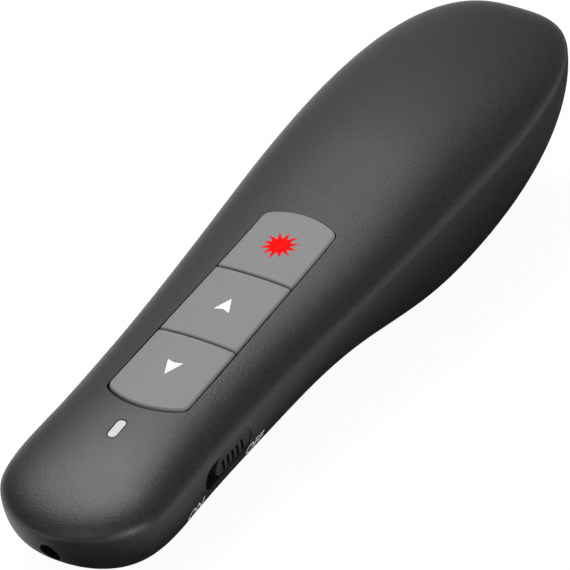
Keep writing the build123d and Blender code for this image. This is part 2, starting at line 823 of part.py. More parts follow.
with BuildPart() as laser_leads:
    # Three leads that run back from the diode and turn up to the board's underside.
    lead_start_y = flange_y + diode_flange_thickness
    for lead_x in (-lead_spread, 0, lead_spread):
        with BuildLine():
            FilletPolyline(
                (lead_x, lead_start_y, laser_z),
                (lead_x, board_nose_y + lead_run, laser_z),
                (lead_x, board_nose_y + lead_run, board_bottom),
                radius=lead_bend,
            )
        with BuildSketch(laser_plane.offset(lead_start_y)):
            with Locations((lead_x, 0)):
                Circle(lead_radius)
        sweep()

# ---- Cells ----
with BuildPart() as battery_left:
    with BuildSketch(cell_plane.offset(cell_front_y + cell_nub_height)):
        with Locations((-cell_x, 0)):
            Circle(cell_radius)
    extrude(amount=cell_length - cell_nub_height)
    chamfer(battery_left.edges().filter_by(GeomType.CIRCLE), cell_edge)
    with BuildSketch(cell_plane.offset(cell_front_y)):
        with Locations((-cell_x, 0)):
            Circle(cell_nub_radius)
    extrude(amount=cell_nub_height)
with BuildPart() as battery_right:
    with BuildSketch(cell_plane.offset(cell_front_y)):
        with Locations((cell_x, 0)):
            Circle(cell_radius)
    extrude(amount=cell_length - cell_nub_height)
    chamfer(battery_right.edges().filter_by(GeomType.CIRCLE), cell_edge)
    with BuildSketch(cell_plane.offset(cell_tail_y - cell_nub_height)):
        with Locations((cell_x, 0)):
            Circle(cell_nub_radius)
    extrude(amount=cell_nub_height)


# ---- Battery contacts ----
def leaf_profile(middle_x, wall_y, reach):
    """Top view of a contact: a flat back on the bay's wall and a bowed leaf to the cell."""
    side = 1 if reach > 0 else -1
    with BuildSketch(Plane.XY.offset(contact_low_z)) as profile:
        with Locations((middle_x, wall_y + side * contact_thickness / 2)):
            Rectangle(contact_width, contact_thickness)
        with BuildLine():
            root_left = (middle_x - leaf_half_width, wall_y)
            root_right = (middle_x + leaf_half_width, wall_y)
            tip = (middle_x, wall_y + reach)
            ThreePointArc(root_left, tip, root_right)
            inner_left = (middle_x - leaf_half_width + contact_thickness * 2, wall_y)
            inner_right = (middle_x + leaf_half_width - contact_thickness * 2, wall_y)
            inner_tip = (middle_x, wall_y + reach - side * contact_thickness)
            ThreePointArc(inner_left, inner_tip, inner_right)
            Line(root_left, inner_left)
            Line(inner_right, root_right)
        make_face()
    return profile.sketch


contact_reach = contact_space + contact_thickness
with BuildPart() as battery_contacts_front:
    add(leaf_profile(-cell_x, bay_front_y, contact_reach))
    add(leaf_profile(cell_x, bay_front_y, contact_reach))
    extrude(amount=contact_height)
    # Tabs that rise to the board's underside.
    with BuildSketch(Plane.XY.offset(contact_low_z + contact_height)):
        with Locations((-cell_x, bay_front_y + contact_thickness / 2)):
            Rectangle(tab_width, contact_thickness)
        with Locations((cell_x, bay_front_y + contact_thickness / 2)):
            Rectangle(tab_width, contact_thickness)
    extrude(amount=board_bottom - contact_low_z - contact_height)
with BuildPart() as battery_bridge_rear:
    add(leaf_profile(-cell_x, bay_tail_y, -contact_reach))
    add(leaf_profile(cell_x, bay_tail_y, -contact_reach))
    with BuildSketch(Plane.XY.offset(contact_low_z)):
        with Locations((0, bay_tail_y - contact_thickness / 2)):
            Rectangle(2 * cell_x, contact_thickness)
    extrude(amount=contact_height)

# ---- Housing screws ----
with BuildPart() as housing_screws:
    with BuildSketch(Plane.XY.offset(screw_seat_z)):
        with Locations(*screw_places):
            Circle(screw_head_radius)
    extrude(amount=-screw_head_height)
    with BuildSketch(Plane.XY.offset(screw_seat_z)):
        with Locations(*screw_places):
            Circle(screw_radius)
    extrude(amount=screw_tip_z - screw_seat_z)
    with BuildSketch(Plane.XY.offset(screw_seat_z - screw_head_height)):
        with Locations(*screw_places):
            Rectangle(driver_slot_length, driver_slot_width)
            Rectangle(driver_slot_width, driver_slot_length)
    extrude(amount=driver_slot_depth, mode=Mode.SUBTRACT)

# ---- USB receiver ----
tongue_length = plug_length - tongue_setback
tongue_y = cap_front_y - tongue_length / 2
tongue_bottom_z = receiver_z - plug_height / 2 + plug_skin
tongue_top_z = tongue_bottom_z + tongue_thickness
receiver_board_y = cap_front_y + receiver_board_reach - receiver_board_length / 2
with BuildPart() as receiver_board:
    with BuildSketch(Plane.XY.offset(tongue_top_z)):
        with Locations((0, receiver_board_y)):
            Rectangle(receiver_board_width, receiver_board_length)
    extrude(amount=receiver_board_thickness)
with BuildPart() as receiver_cap:
    with BuildSketch(receiver_plane.offset(cap_front_y)):
        RectangleRounded(receiver_width, receiver_height, receiver_edge)
    extrude(amount=length)
    add(cap_form, mode=Mode.INTERSECT)
    # Pocket that the receiver's board reaches into.
    with BuildSketch(Plane.XY.offset(tongue_top_z)):
        with Locations((0, cap_front_y + receiver_board_reach / 2)):
            Rectangle(receiver_board_width, receiver_board_reach)
    extrude(amount=receiver_board_thickness, mode=Mode.SUBTRACT)
with BuildPart() as receiver_plug_shell:
    with BuildSketch(receiver_plane.offset(plug_mouth_y)):
        RectangleRounded(plug_width, plug_height, receiver_edge)
        Rectangle(plug_width - 2 * plug_skin, plug_height - 2 * plug_skin, mode=Mode.SUBTRACT)
    extrude(amount=plug_length)
    # Pair of square latch holes through the top and bottom of the skin.
    with BuildSketch(Plane.XY.offset(receiver_z)):
        with Locations((-plug_hole_x, plug_mouth_y + plug_hole_y)):
            Rectangle(plug_hole, plug_hole)
        with Locations((plug_hole_x, plug_mouth_y + plug_hole_y)):
            Rectangle(plug_hole, plug_hole)
    extrude(amount=plug_height, both=True, mode=Mode.SUBTRACT)
with BuildPart() as receiver_plug_tongue:
    with BuildSketch(Plane.XY.offset(tongue_bottom_z)):
        with Locations((0, tongue_y)):
            Rectangle(plug_width - 2 * plug_skin, tongue_length)
    extrude(amount=tongue_thickness)
with BuildPart() as receiver_contacts:
    contact_y = cap_front_y - tongue_length + usb_contact_length / 2 + tongue_setback
    with BuildSketch(Plane.XY.offset(tongue_top_z)):
        with Locations((0, contact_y)):
            with GridLocations(usb_contact_pitch, 0, usb_contact_count, 1):
                Rectangle(usb_contact_width, usb_contact_length)
    extrude(amount=usb_contact_thickness)

# ---- Setting down on the table, and export ----
pieces = {
    "top_shell": top_shell.part,
    "bottom_shell": bottom_shell.part,
    "battery_cover": battery_cover.part,
    "page_up_button": keys["page_up"],
    "page_down_button": keys["page_down"],
    "laser_button": keys["laser"],
    "page_up_plunger": plungers["page_up"],
    "page_down_plunger": plungers["page_down"],
    "laser_plunger": plungers["laser"],
    "button_switch_bases": button_switch_bases.part,
    "status_window": status_window.part,
    "status_led": status_led.part,
    "circuit_board": circuit_board.part,
    "board_screws": board_screws.part,
    "controller_chip": controller_chip,
    "radio_crystal": radio_crystal,
    "board_capacitors": board_capacitors.part,
    "antenna_strip": antenna_strip.part,
    "slide_switch_case": slide_switch_case.part,
    "slide_switch_lever": slide_switch_lever.part,
    "slide_switch_terminals": slide_switch_terminals.part,
    "power_knob": power_knob.part,
    "laser_barrel": laser_barrel.part,
    "laser_lens": laser_lens.part,
    "laser_lens_ring": laser_lens_ring.part,
    "laser_diode": laser_diode.part,
    "laser_leads": laser_leads.part,
    "battery_left": battery_left.part,
    "battery_right": battery_right.part,
    "battery_contacts_front": battery_contacts_front.part,
    "battery_bridge_rear": battery_bridge_rear.part,
    "housing_screws": housing_screws.part,
    "receiver_cap": receiver_cap.part,
    "receiver_plug_shell": receiver_plug_shell.part,
    "receiver_plug_tongue": receiver_plug_tongue.part,
    "receiver_contacts": receiver_contacts.part,
    "receiver_board": receiver_board.part,
}
to_table = table.location.inverse()
standing_box = top_shell.part.moved(to_table).bounding_box()
standing_box = standing_box.add(bottom_shell.part.moved(to_table).bounding_box())
middle_y = standing_box.center().Y
rest_place = Location((0, -middle_y, 0)) * to_table

os.makedirs("parts", exist_ok=True)
for node, piece in pieces.items():
    standing = piece.moved(rest_place)
    standing.label = node
    export_step(standing, f"parts/{node}.step")
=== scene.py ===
import bmesh
import bpy
import json
import math
import random
from mathutils import Matrix, Vector
from mathutils.bvhtree import BVHTree


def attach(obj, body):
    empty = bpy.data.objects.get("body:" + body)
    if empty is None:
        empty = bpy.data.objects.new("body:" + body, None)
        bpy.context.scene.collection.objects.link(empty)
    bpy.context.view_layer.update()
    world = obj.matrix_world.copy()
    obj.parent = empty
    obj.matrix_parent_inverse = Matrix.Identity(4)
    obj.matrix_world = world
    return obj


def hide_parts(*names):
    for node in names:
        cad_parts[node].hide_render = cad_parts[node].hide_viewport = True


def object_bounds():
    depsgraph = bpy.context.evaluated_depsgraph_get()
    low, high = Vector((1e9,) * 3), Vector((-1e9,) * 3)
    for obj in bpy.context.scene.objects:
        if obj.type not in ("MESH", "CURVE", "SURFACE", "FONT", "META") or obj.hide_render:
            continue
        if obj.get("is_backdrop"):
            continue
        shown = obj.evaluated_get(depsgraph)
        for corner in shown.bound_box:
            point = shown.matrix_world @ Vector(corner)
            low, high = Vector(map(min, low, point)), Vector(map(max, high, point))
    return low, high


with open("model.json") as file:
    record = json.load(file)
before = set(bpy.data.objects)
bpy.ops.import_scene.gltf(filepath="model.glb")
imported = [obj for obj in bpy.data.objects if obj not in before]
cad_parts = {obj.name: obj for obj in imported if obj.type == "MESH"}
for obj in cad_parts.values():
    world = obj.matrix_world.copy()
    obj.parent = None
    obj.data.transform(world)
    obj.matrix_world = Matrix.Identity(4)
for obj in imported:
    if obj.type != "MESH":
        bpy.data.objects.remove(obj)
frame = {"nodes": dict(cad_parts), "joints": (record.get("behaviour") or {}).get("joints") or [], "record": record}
cad_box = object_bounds()

# Lengths are in millimetres and angles in degrees, unless a comment says otherwise.
MM = 0.001

# ---- The housing's own axes: Y runs from the nose, Z up out of the keys, the seam is Z = 0 ----
press = next(j for j in frame["joints"] if j["name"] == "page_up_press")
land = next(m for m in frame["record"]["mounts"] if m["name"] == "front_rest_land")
AXIS_UP = -Vector(press["axis"])
AXIS_TAIL = Vector((0, AXIS_UP.z, -AXIS_UP.y))
# Where the front rest land lies along these axes, as part.py has it.
FRONT_LAND = (14.5, -11.038)
ORIGIN = Vector(land["pos_m"]) - (AXIS_TAIL * FRONT_LAND[0] + AXIS_UP * FRONT_LAND[1]) * MM


def aim(direction):
    """A direction in the housing's axes as a direction of the frame."""
    x, y, z = direction
    return Vector((x, 0, 0)) + AXIS_TAIL * y + AXIS_UP * z


def place(point):
    """A point in the housing's axes as a point of the frame in metres."""
    return ORIGIN + aim(point) * MM


def to_housing(point):
    """A point of the frame in metres as a point in the housing's axes."""
    offset = (point - ORIGIN) / MM
    return offset.x, offset.dot(AXIS_TAIL), offset.dot(AXIS_UP)


def clamp(value, low=0.0, high=1.0):
    return max(low, min(high, value))


def ease(share):
    """Smoothstep of a share from 0 to 1."""
    return share * share * (3 - 2 * share)


# ---- Camera: fitted to the photograph's outline ----
IMAGE_PIXELS = 570.0
SENSOR = 36.0
CAMERA_ELEVATION = 39.1012
CAMERA_AZIMUTH = 35.9559
CAMERA_ROLL = -7.1991
CAMERA_DISTANCE = 1044.28
FOCAL_PIXELS = 7533.0
OFF_CENTRE_PIXELS = (6.5027, -21.0913)
CLIP_METRES = (0.01, 20)
BODY_LENGTH = 127.0


def add_camera():
    elevation, azimuth, roll = (
        math.radians(angle) for angle in (CAMERA_ELEVATION, CAMERA_AZIMUTH, CAMERA_ROLL)
    )
    back = Vector(
        (
            math.sin(azimuth) * math.cos(elevation),
            -math.cos(azimuth) * math.cos(elevation),
            math.sin(elevation),
        )
    )
    level = Vector((math.cos(azimuth), math.sin(azimuth), 0))
    upright = back.cross(level)
    right = math.cos(roll) * level + math.sin(roll) * upright
    up = math.cos(roll) * upright - math.sin(roll) * level
    per_pixel = CAMERA_DISTANCE / FOCAL_PIXELS
    off_right, off_up = OFF_CENTRE_PIXELS
    spot = Vector((0, BODY_LENGTH / 2, 0)) + back * CAMERA_DISTANCE
    spot += up * (off_up * per_pixel) - right * (off_right * per_pixel)
    data = bpy.data.cameras.new("camera")
    data.sensor_width = SENSOR
    data.lens = FOCAL_PIXELS / IMAGE_PIXELS * SENSOR
    data.clip_start, data.clip_end = CLIP_METRES
    camera = bpy.data.objects.new("camera", data)
    bpy.context.scene.collection.objects.link(camera)
    matrix = Matrix((aim(right), aim(up), aim(back))).transposed().to_4x4()
    matrix.translation = place(spot)
    camera.matrix_world = matrix
    bpy.context.scene.camera = camera


# ---- Materials ----
# The part of a noise's range that a colour ramp spreads out.
RAMP_ENDS = (0.3, 0.7)
# Detail and roughness of the fine grain, and how many times coarser the gloss varies.
FINE_GRAIN = (3.0, 0.6)
GLOSS_COARSER = 12
# The swirls in clear pieces: cycles per metre and detail, darkest shade, spread in roughness.
SWIRL = (900.0, 1.5)
SWIRL_SHADE = 0.97
SWIRL_ROUGHNESS = 0.06


def new_material(name):
    material = bpy.data.materials.new(name)
    material.use_nodes = True
    tree = material.node_tree
    return material, tree, tree.nodes["Principled BSDF"]


def add_node(tree, kind, inputs=None, **settings):
    """A new node with settings, and with values for some of its inputs."""
    node = tree.nodes.new(kind)
    for key, value in settings.items():
        setattr(node, key, value)
    set_inputs(node, inputs or {})
    return node


def set_inputs(node, values):
    for name, value in values.items():
        node.inputs[name].default_value = value


def noise(tree, scale, detail=2.0, roughness=0.5):
    """Noise in the object's own space, scale in cycles per metre."""
    inputs = {"Scale": scale, "Detail": detail, "Roughness": roughness}
    node = add_node(tree, "ShaderNodeTexNoise", inputs)
    spot = add_node(tree, "ShaderNodeTexCoord")
    tree.links.new(spot.outputs["Object"], node.inputs["Vector"])
    return node.outputs["Fac"]


def math_node(tree, operation, first, second=None):
    """The output of a Math node whose inputs are sockets or numbers."""
    node = add_node(tree, "ShaderNodeMath", operation=operation)
    for socket, value in zip(node.inputs, (first, second)):
        if isinstance(value, (int, float)):
            socket.default_value = value
        elif value is not None:
            tree.links.new(value, socket)
    return node.outputs[0]


def ramp(tree, source, low_colour, high_colour):
    """The source's middle range carried from one colour to the other."""
    node = add_node(tree, "ShaderNodeValToRGB")
    ends = zip(node.color_ramp.elements, RAMP_ENDS, (low_colour, high_colour))
    for element, position, colour in ends:
        element.position = position
        element.color = (*colour, 1)
    tree.links.new(source, node.inputs["Fac"])
    return node.outputs["Color"]


def span(tree, source, low, high):
    """The source's 0 to 1 carried to low to high."""
    node = add_node(tree, "ShaderNodeMapRange", {"To Min": low, "To Max": high})
    tree.links.new(source, node.inputs["Value"])
    return node.outputs["Result"]


def bump(tree, shader, source, distance, strength):
    node = add_node(tree, "ShaderNodeBump", {"Distance": distance, "Strength": strength})
    tree.links.new(source, node.inputs["Height"])
    tree.links.new(node.outputs["Normal"], shader.inputs["Normal"])


def grained(name, colour, spread, roughness, grain, specular, coat=0.0, metallic=0.0):
    """A surface whose colour varies a little, with fine grain in its gloss and relief."""
    material, tree, shader = new_material(name)
    scale, depth, strength = grain
    shade = tuple(c * (1 - spread) for c in colour)
    tint = tuple(min(1.0, c * (1 + spread)) for c in colour)
    fine = noise(tree, scale, *FINE_GRAIN)
    tree.links.new(ramp(tree, fine, shade, tint), shader.inputs["Base Color"])
    broad = noise(tree, scale / GLOSS_COARSER)
    tree.links.new(span(tree, broad, *roughness), shader.inputs["Roughness"])
    bump(tree, shader, fine, depth, strength)
    inputs = {"Specular IOR Level": specular, "Metallic": metallic, "Coat Weight": coat}
    set_inputs(shader, inputs)
    return material


def glassy(name, colour, roughness, transmission, ior):
    """A clear or frosted piece with faint swirls in its gloss."""
    material, tree, shader = new_material(name)
    swirl = noise(tree, *SWIRL)
    faint = tuple(c * SWIRL_SHADE for c in colour)
    tree.links.new(ramp(tree, swirl, faint, colour), shader.inputs["Base Color"])
    gloss = span(tree, swirl, roughness, roughness + SWIRL_ROUGHNESS)
    tree.links.new(gloss, shader.inputs["Roughness"])
    set_inputs(shader, {"Transmission Weight": transmission, "IOR": ior})
    return material


# Material name, colour, the colour's spread, roughness from and to, grain (cycles per metre,
# depth in metres, strength), specular level, and for some the coat and the metal.
GRAINED = {
    "shell": (
        "shell_anthracite", (0.017, 0.017, 0.0174), 0.6, (0.36, 0.42), (4200, 3.5e-5, 1), 0.4
    ),
    "key_plastic": ("key_grey", (0.212, 0.212, 0.215), 0.03, (0.52, 0.6), (4000, 2e-5, 0.2), 0.3),
    "knob_plastic": (
        "knob_black", (0.019, 0.019, 0.0195), 0.1, (0.42, 0.48), (3600, 2e-5, 0.25), 0.3
    ),
    "receiver_plastic": (
        "receiver_black", (0.024, 0.024, 0.025), 0.1, (0.4, 0.5), (3600, 2e-5, 0.25), 0.4
    ),
    "inner_plastic": (
        "inner_black", (0.03, 0.03, 0.03), 0.1, (0.45, 0.55), (2500, 2e-5, 0.25), 0.4
    ),
    "board": ("solder_mask", (0.012, 0.10, 0.04), 0.12, (0.25, 0.35), (1500, 1e-5, 0.2), 0.5, 0.3),
    "chip_plastic": ("chip_epoxy", (0.02, 0.02, 0.02), 0.12, (0.5, 0.62), (6000, 1e-5, 0.3), 0.4),
    "bright_steel": (
        "nickel_plate", (0.58, 0.57, 0.55), 0.06, (0.22, 0.34), (1800, 1e-5, 0.1), 0.5, 0, 1
    ),
    "copper_gilt": (
        "gilt_copper", (0.78, 0.56, 0.22), 0.06, (0.22, 0.32), (1800, 1e-5, 0.1), 0.5, 0, 1
    ),
    "laser_brass": (
        "turned_brass", (0.70, 0.52, 0.22), 0.07, (0.24, 0.36), (2200, 1e-5, 0.12), 0.5, 0, 1
    ),
    "battery_jacket": (
        "cell_jacket", (0.42, 0.43, 0.45), 0.05, (0.2, 0.3), (900, 1e-5, 0.1), 0.5, 0.4
    ),
    # Painted shade: a near-black put where shade falls, in the laser's bore, on its lens ring, in the grip grooves
    # and round the status window.
    "dark_bore": ("painted_shade_near_black", (0.006, 0.006, 0.006), 0.1, (0.8, 0.9), (5000, 1e-5, 0.1), 0.02),
    "red_ink": ("star_red", (0.93, 0.004, 0.004), 0.03, (0.7, 0.8), (5000, 1e-5, 0.1), 0.05),
    "white_ink": ("mark_white", (0.93, 0.93, 0.93), 0.02, (0.5, 0.6), (5000, 1e-5, 0.1), 0.3),
}
# Material name, colour, roughness, transmission and index of refraction.
GLASSY = {
    "window_plastic": ("frosted_window", (0.56, 0.56, 0.56), 0.4, 0.0, 1.46),
    "led_lens": ("led_resin", (0.8, 0.8, 0.72), 0.15, 0.3, 1.5),
    "laser_glass": ("laser_lens", (0.9, 0.9, 0.93), 0.02, 0.9, 1.5),
}


def finish_nodes(materials):
    slots = {part["node"]: part["material_slot"] for part in frame["record"]["subparts"]}
    # The lens ring takes the near-black as well: painted shade, so that the laser's opening reads as a dark hole.
    slots["laser_lens_ring"] = "dark_bore"
    for name, node in frame["nodes"].items():
        node.data.materials.clear()
        node.data.materials.append(materials[slots[name]])


# ---- The housing's form, as part.py has it ----
GRIP = {"width": 12.5, "height": 4.8, "depth": 11.6}
PALM = {"width": 16.0, "height": 6.1, "depth": 19.6}
SWELL = {"width": (26.5, 96.5), "height": (58.0, 90.0), "depth": (50.0, 89.0)}
# Reach and power of the curves that close the form at its ends.
NOSE_END = {"width": (10.7, 1.9), "height": (25.0, 2.1), "depth": (17.4, 2.0)}
TAIL_END = {"width": (35.0, 2.7), "height": (42.6, 1.7), "depth": (35.5, 2.0)}
# Fullness of the section's corners, over and under the seam.
UPPER_PULL = (0.60, 0.70)
LOWER_PULL = (0.66, 0.63)
QUARTER_STEPS = 400
# Columns of a quarter's table.
ANGLE, ACROSS, ALONG = 0, 1, 2
# How far from the form a point still counts as on its skin.
SKIN_REACH = 0.3
# Over how much length a slope is taken, each way, and how near to the form's ends.
SLOPE_STEP = 0.01
END_MARGIN = 0.02
# The search for the nose's skin: how far from the tip it starts, and how often it halves.
NOSE_SEARCH = (12.0, 30)
# The palm is shaded as if it rose over this stretch, which softens its front slope.
PALM_SHADING = (20.0, 126.0)


def closing(distance, end):
    """How full the form is at a distance from one of its ends."""
    reach, power = end
    return (1 - clamp(1 - distance / reach) ** power) ** (1 / power)


def rise_slope(y, stretch):
    """Slope of the palm's rise over the grip, taken over a stretch of the housing."""
    low, high = stretch
    if not low < y < high:
        return 0.0
    rise = PALM["height"] - GRIP["height"]
    return rise * math.pi / 2 / (high - low) * math.sin(math.pi * (y - low) / (high - low))


def form_size(part, y):
    """Half width, height or depth of the housing's form at y."""
    low, high = SWELL[part]
    share = clamp((y - low) / (high - low))
    size = GRIP[part] + (PALM[part] - GRIP[part]) * (0.5 - 0.5 * math.cos(math.pi * share))
    return size * closing(y, NOSE_END[part]) * closing(BODY_LENGTH - y, TAIL_END[part])


def quarter_table(pull):
    """Angle, position and slope along a quarter of the section, to look up in."""
    side, crown = pull
    rows = []
    for i in range(QUARTER_STEPS + 1):
        t = i / QUARTER_STEPS
        u = 1 - t
        across = u**3 + 3 * u * u * t + 3 * u * t * t * crown
        along = 3 * u * u * t * side + 3 * u * t * t + t**3
        # Slopes of the Bezier curve through (1, 0), (1, side), (crown, 1), (0, 1).
        d_across = 6 * u * t * (crown - 1) - 3 * t * t * crown
        d_along = 3 * u * u * side + 6 * u * t * (1 - side)
        rows.append((math.atan2(along, across), across, along, d_across, d_along))
    return rows


TABLES = {"height": quarter_table(UPPER_PULL), "depth": quarter_table(LOWER_PULL)}


def look_up(rows, column, value, falling=False):
    """The row at a value of one column, interpolated. The column rises, or falls."""
    sign = -1 if falling else 1
    low, high = 0, len(rows) - 1
    while high - low > 1:
        middle = (low + high) // 2
        if sign * rows[middle][column] <= sign * value:
            low = middle
        else:
            high = middle
    first, second = rows[low], rows[high]
    share = (value - first[column]) / (second[column] - first[column])
    return [a + (b - a) * share for a, b in zip(first, second)]


def form_top(x, y):
    """Height of the form's upper skin over the seam."""
    share = min(1.0, abs(x) / form_size("width", y))
    row = look_up(TABLES["height"], ACROSS, share, falling=True)
    return form_size("height", y) * row[ALONG]


def side_at(y, z):
    """Half width of the form at a height under the seam."""
    share = min(1.0, abs(z) / form_size("depth", y))
    return form_size("width", y) * look_up(TABLES["depth"], ALONG, share)[ACROSS]


def nose_at(x, z):
    """How far from the nose's tip the form starts, at a place across and a height."""
    high, steps = NOSE_SEARCH
    low = 0.0
    for _ in range(steps):
        middle = (low + high) / 2
        if form_size("depth", middle) > abs(z) and side_at(middle, z) > abs(x):
            high = middle
        else:
            low = middle
    return high


def form_normal(point):
    """How far a point lies from the form's skin, and the skin's normal there."""
    x, y, z = point
    y = clamp(y, END_MARGIN, BODY_LENGTH - END_MARGIN)
    part = "height" if z >= 0 else "depth"
    wide, tall = form_size("width", y), form_size(part, y)
    angle = math.atan2(abs(z) / tall, abs(x) / wide)
    _, across, along, d_across, d_along = look_up(TABLES[part], ANGLE, angle)
    wide_slope, tall_slope = (
        (form_size(size, y + SLOPE_STEP) - form_size(size, y - SLOPE_STEP)) / (2 * SLOPE_STEP)
        for size in ("width", part)
    )
    if part == "height":
        tall_slope += rise_slope(y, PALM_SHADING) - rise_slope(y, SWELL[part])
    normal = Vector(
        (
            tall * d_along,
            wide * tall_slope * along * d_across - wide_slope * tall * across * d_along,
            -wide * d_across,
        )
    ).normalized()
    gap = math.hypot(abs(x), abs(z)) - math.hypot(wide * across, tall * along)
    if x < 0:
        normal.x = -normal.x
    if z < 0:
        normal.z = -normal.z
    return gap, normal


# ---- Skins: copies of the housing's nodes with smooth shading and small changes ----
# Least cosine between a face's normal and its corners' for a flat face, and between a corner's
# normal and the form's for one that faces as the form does.
FLAT_MATCH = 0.9999995
SKIN_MATCH = 0.95


def node_body(name):
    for body, nodes in frame["record"]["behaviour"]["bodies"].items():
        if name in nodes:
            return body
    raise KeyError(name)


def smooth_skin(name, warp=None):
    """A copy of a node whose outer skin takes its shading from the form itself, without facets.

    The skin is what lies on the form and faces as it does. Flat faces stay flat. A warp, if
    given, carries the copy's points first.
    """
    mesh = frame["nodes"][name].data.copy()
    normals = [Vector(loop.normal) for loop in mesh.loops]
    flat = set()
    for polygon in mesh.polygons:
        if all(normals[i].dot(polygon.normal) > FLAT_MATCH for i in polygon.loop_indices):
            flat.update(polygon.loop_indices)
    spots = []
    for vertex in mesh.vertices:
        spot = to_housing(vertex.co)
        if warp:
            spot = warp(*spot)
            vertex.co = place(spot)
        spots.append(spot)
    skin = {}
    for loop in mesh.loops:
        if loop.index in flat:
            continue
        if loop.vertex_index not in skin:
            gap, normal = form_normal(spots[loop.vertex_index])
            skin[loop.vertex_index] = (gap, aim(normal))
        gap, normal = skin[loop.vertex_index]
        if abs(gap) < SKIN_REACH and normals[loop.index].dot(normal) > SKIN_MATCH:
            normals[loop.index] = normal
    mesh.normals_split_custom_set([tuple(n) for n in normals])
    piece = bpy.data.objects.new(f"{name}_skin", mesh)
    bpy.context.scene.collection.objects.link(piece)
    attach(piece, node_body(name))
    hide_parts(name)
    return piece


# The shells' reveal at the seam: half its height in the solids, how closely a point has to meet
# that, and half its height as it shows on each side.
REVEAL = {"solid": 0.06, "touch": 0.002, "left": 0.012, "right": 0.006}


def close_seam(x, y, z):
    """Draws a shell's reveal at the seam to a hairline, as the photograph shows it."""
    near = abs(z) < REVEAL["solid"] + REVEAL["touch"]
    if near and abs(form_normal((x, y, z))[0]) < SKIN_REACH:
        z = math.copysign(REVEAL["left" if x < 0 else "right"], z)
    return x, y, z


# The laser's opening in the nose: an oval that stands a little higher than the bore behind it.
# The change to the nose fades out from rim to reach, and stops at skin_end.
BORE = {"z": -3.2, "radius": 1.55, "back": 5.15}
HOLE = {
    "z": -2.92,
    "half_width": 1.47,
    "half_height": 1.78,
    "rim": 1.58,
    "reach": 3.1,
    "skin_end": 4.5,
}


def shape_hole(x, y, z):
    """Makes the laser's opening an oval, which stays on the nose's skin."""
    up = z - BORE["z"]
    away = math.hypot(x, up)
    if y > HOLE["skin_end"] or away > HOLE["reach"]:
        return x, y, z
    share = ease(min(1.0, (HOLE["reach"] - away) / (HOLE["reach"] - HOLE["rim"])))
    oval_x = x * HOLE["half_width"] / BORE["radius"]
    oval_z = HOLE["z"] + up * HOLE["half_height"] / BORE["radius"]
    new_x, new_z = x + (oval_x - x) * share, z + (oval_z - z) * share
    return new_x, y + nose_at(new_x, new_z) - nose_at(x, z), new_z


# The switch's slot in the lower shell, past inner. Its tail end is drawn in by close, towards
# the knob at rest. Touch is how closely a point has to meet the slot's end and its edges.
SLOT = {
    "z": -2.2,
    "half_height": 1.95,
    "tail": 32.6,
    "close": 0.33,
    "inner": 9.0,
    "touch": (0.02, 0.01),
}


def shape_under(x, y, z):
    """The lower shell's changes: the seam, the laser's opening and the slot's tail end."""
    x, y, z = shape_hole(*close_seam(x, y, z))
    end_touch, edge_touch = SLOT["touch"]
    start = SLOT["tail"] - SLOT["half_height"]
    in_band = abs(z - SLOT["z"]) < SLOT["half_height"] + edge_touch
    if x > SLOT["inner"] and in_band and start < y < SLOT["tail"] + end_touch:
        y -= SLOT["close"] * (y - start) / SLOT["half_height"]
    return x, y, z


# The knob: its skin lies past this x. Changes to the grooves fade out over fade, up to the
# knob's edge at half_height. Its lower edge is drawn down by foot, from foot_from on.
KNOB = {
    "skin": 10.6,
    "half_height": 1.83,
    "fade": 0.6,
    "foot": 0.1,
    "foot_from": 1.3,
    "foot_reach": 0.5,
}
# The grooves: how many lie on each side of the middle one, their half width in the node and as
# shown, and how far they shift to the tail, drop and lean (per mm of height, up to a limit).
GROOVES = {"middle": 27.45, "pitch": 1.17, "each_side": 2, "half": 0.25, "shown": 0.28}
GROOVE_SHIFT = {"tailward": 0.4, "drop": 0.36, "lean": 0.25, "lean_limit": 0.5, "fade": 1.4}
# What is painted dark: how far it lies from the middle groove, from the slot's middle height,
# and under the form.
GROOVE_PAINT = {"along": 3.2, "up": 1.75, "under": 0.3}


def shape_knob(x, y, z):
    """Wider grooves, a little nearer the tail and lower, and a narrower gap under the knob."""
    if x < KNOB["skin"]:
        return x, y, z
    pitch, half, shown = GROOVES["pitch"] / 2, GROOVES["half"], GROOVES["shown"]
    level = z - SLOT["z"]
    within = clamp((KNOB["half_height"] - abs(level)) / KNOB["fade"])
    nearest = round((y - GROOVES["middle"]) / GROOVES["pitch"])
    nearest = clamp(nearest, -GROOVES["each_side"], GROOVES["each_side"])
    centre = GROOVES["middle"] + nearest * GROOVES["pitch"]
    off = y - centre
    if abs(off) < pitch:
        size = abs(off)
        if size < half:
            wide = size * shown / half
        else:
            wide = shown + (size - half) * (pitch - shown) / (pitch - half)
        off = math.copysign(size + (wide - size) * within, off)
    stretch = GROOVES["pitch"] * (GROOVES["each_side"] + 0.5)
    past = max(0.0, abs(y - GROOVES["middle"]) - stretch)
    fade = max(0.0, 1 - past / GROOVE_SHIFT["fade"]) * within
    limit = GROOVE_SHIFT["lean_limit"]
    lean = clamp(-GROOVE_SHIFT["lean"] * level, -limit, limit)
    new_y = centre + off + (GROOVE_SHIFT["tailward"] + lean) * fade
    new_z = z - GROOVE_SHIFT["drop"] * fade
    if level < 0:
        new_z -= KNOB["foot"] * clamp((-level - KNOB["foot_from"]) / KNOB["foot_reach"])
    return x + side_at(new_y, new_z) - side_at(y, z), new_y, new_z


def darken_grooves(knob, material):
    """The grip grooves hold hardly any light, so their floors and walls are painted darker."""
    mesh = knob.data
    mesh.materials.append(material)
    middle = GROOVES["middle"] + GROOVE_SHIFT["tailward"]
    for face in mesh.polygons:
        x, y, z = to_housing(knob.matrix_world @ face.center)
        near = abs(y - middle) < GROOVE_PAINT["along"] and abs(z - SLOT["z"]) < GROOVE_PAINT["up"]
        if x > KNOB["skin"] and near and side_at(y, z) - x > GROOVE_PAINT["under"]:
            face.material_index = len(mesh.materials) - 1


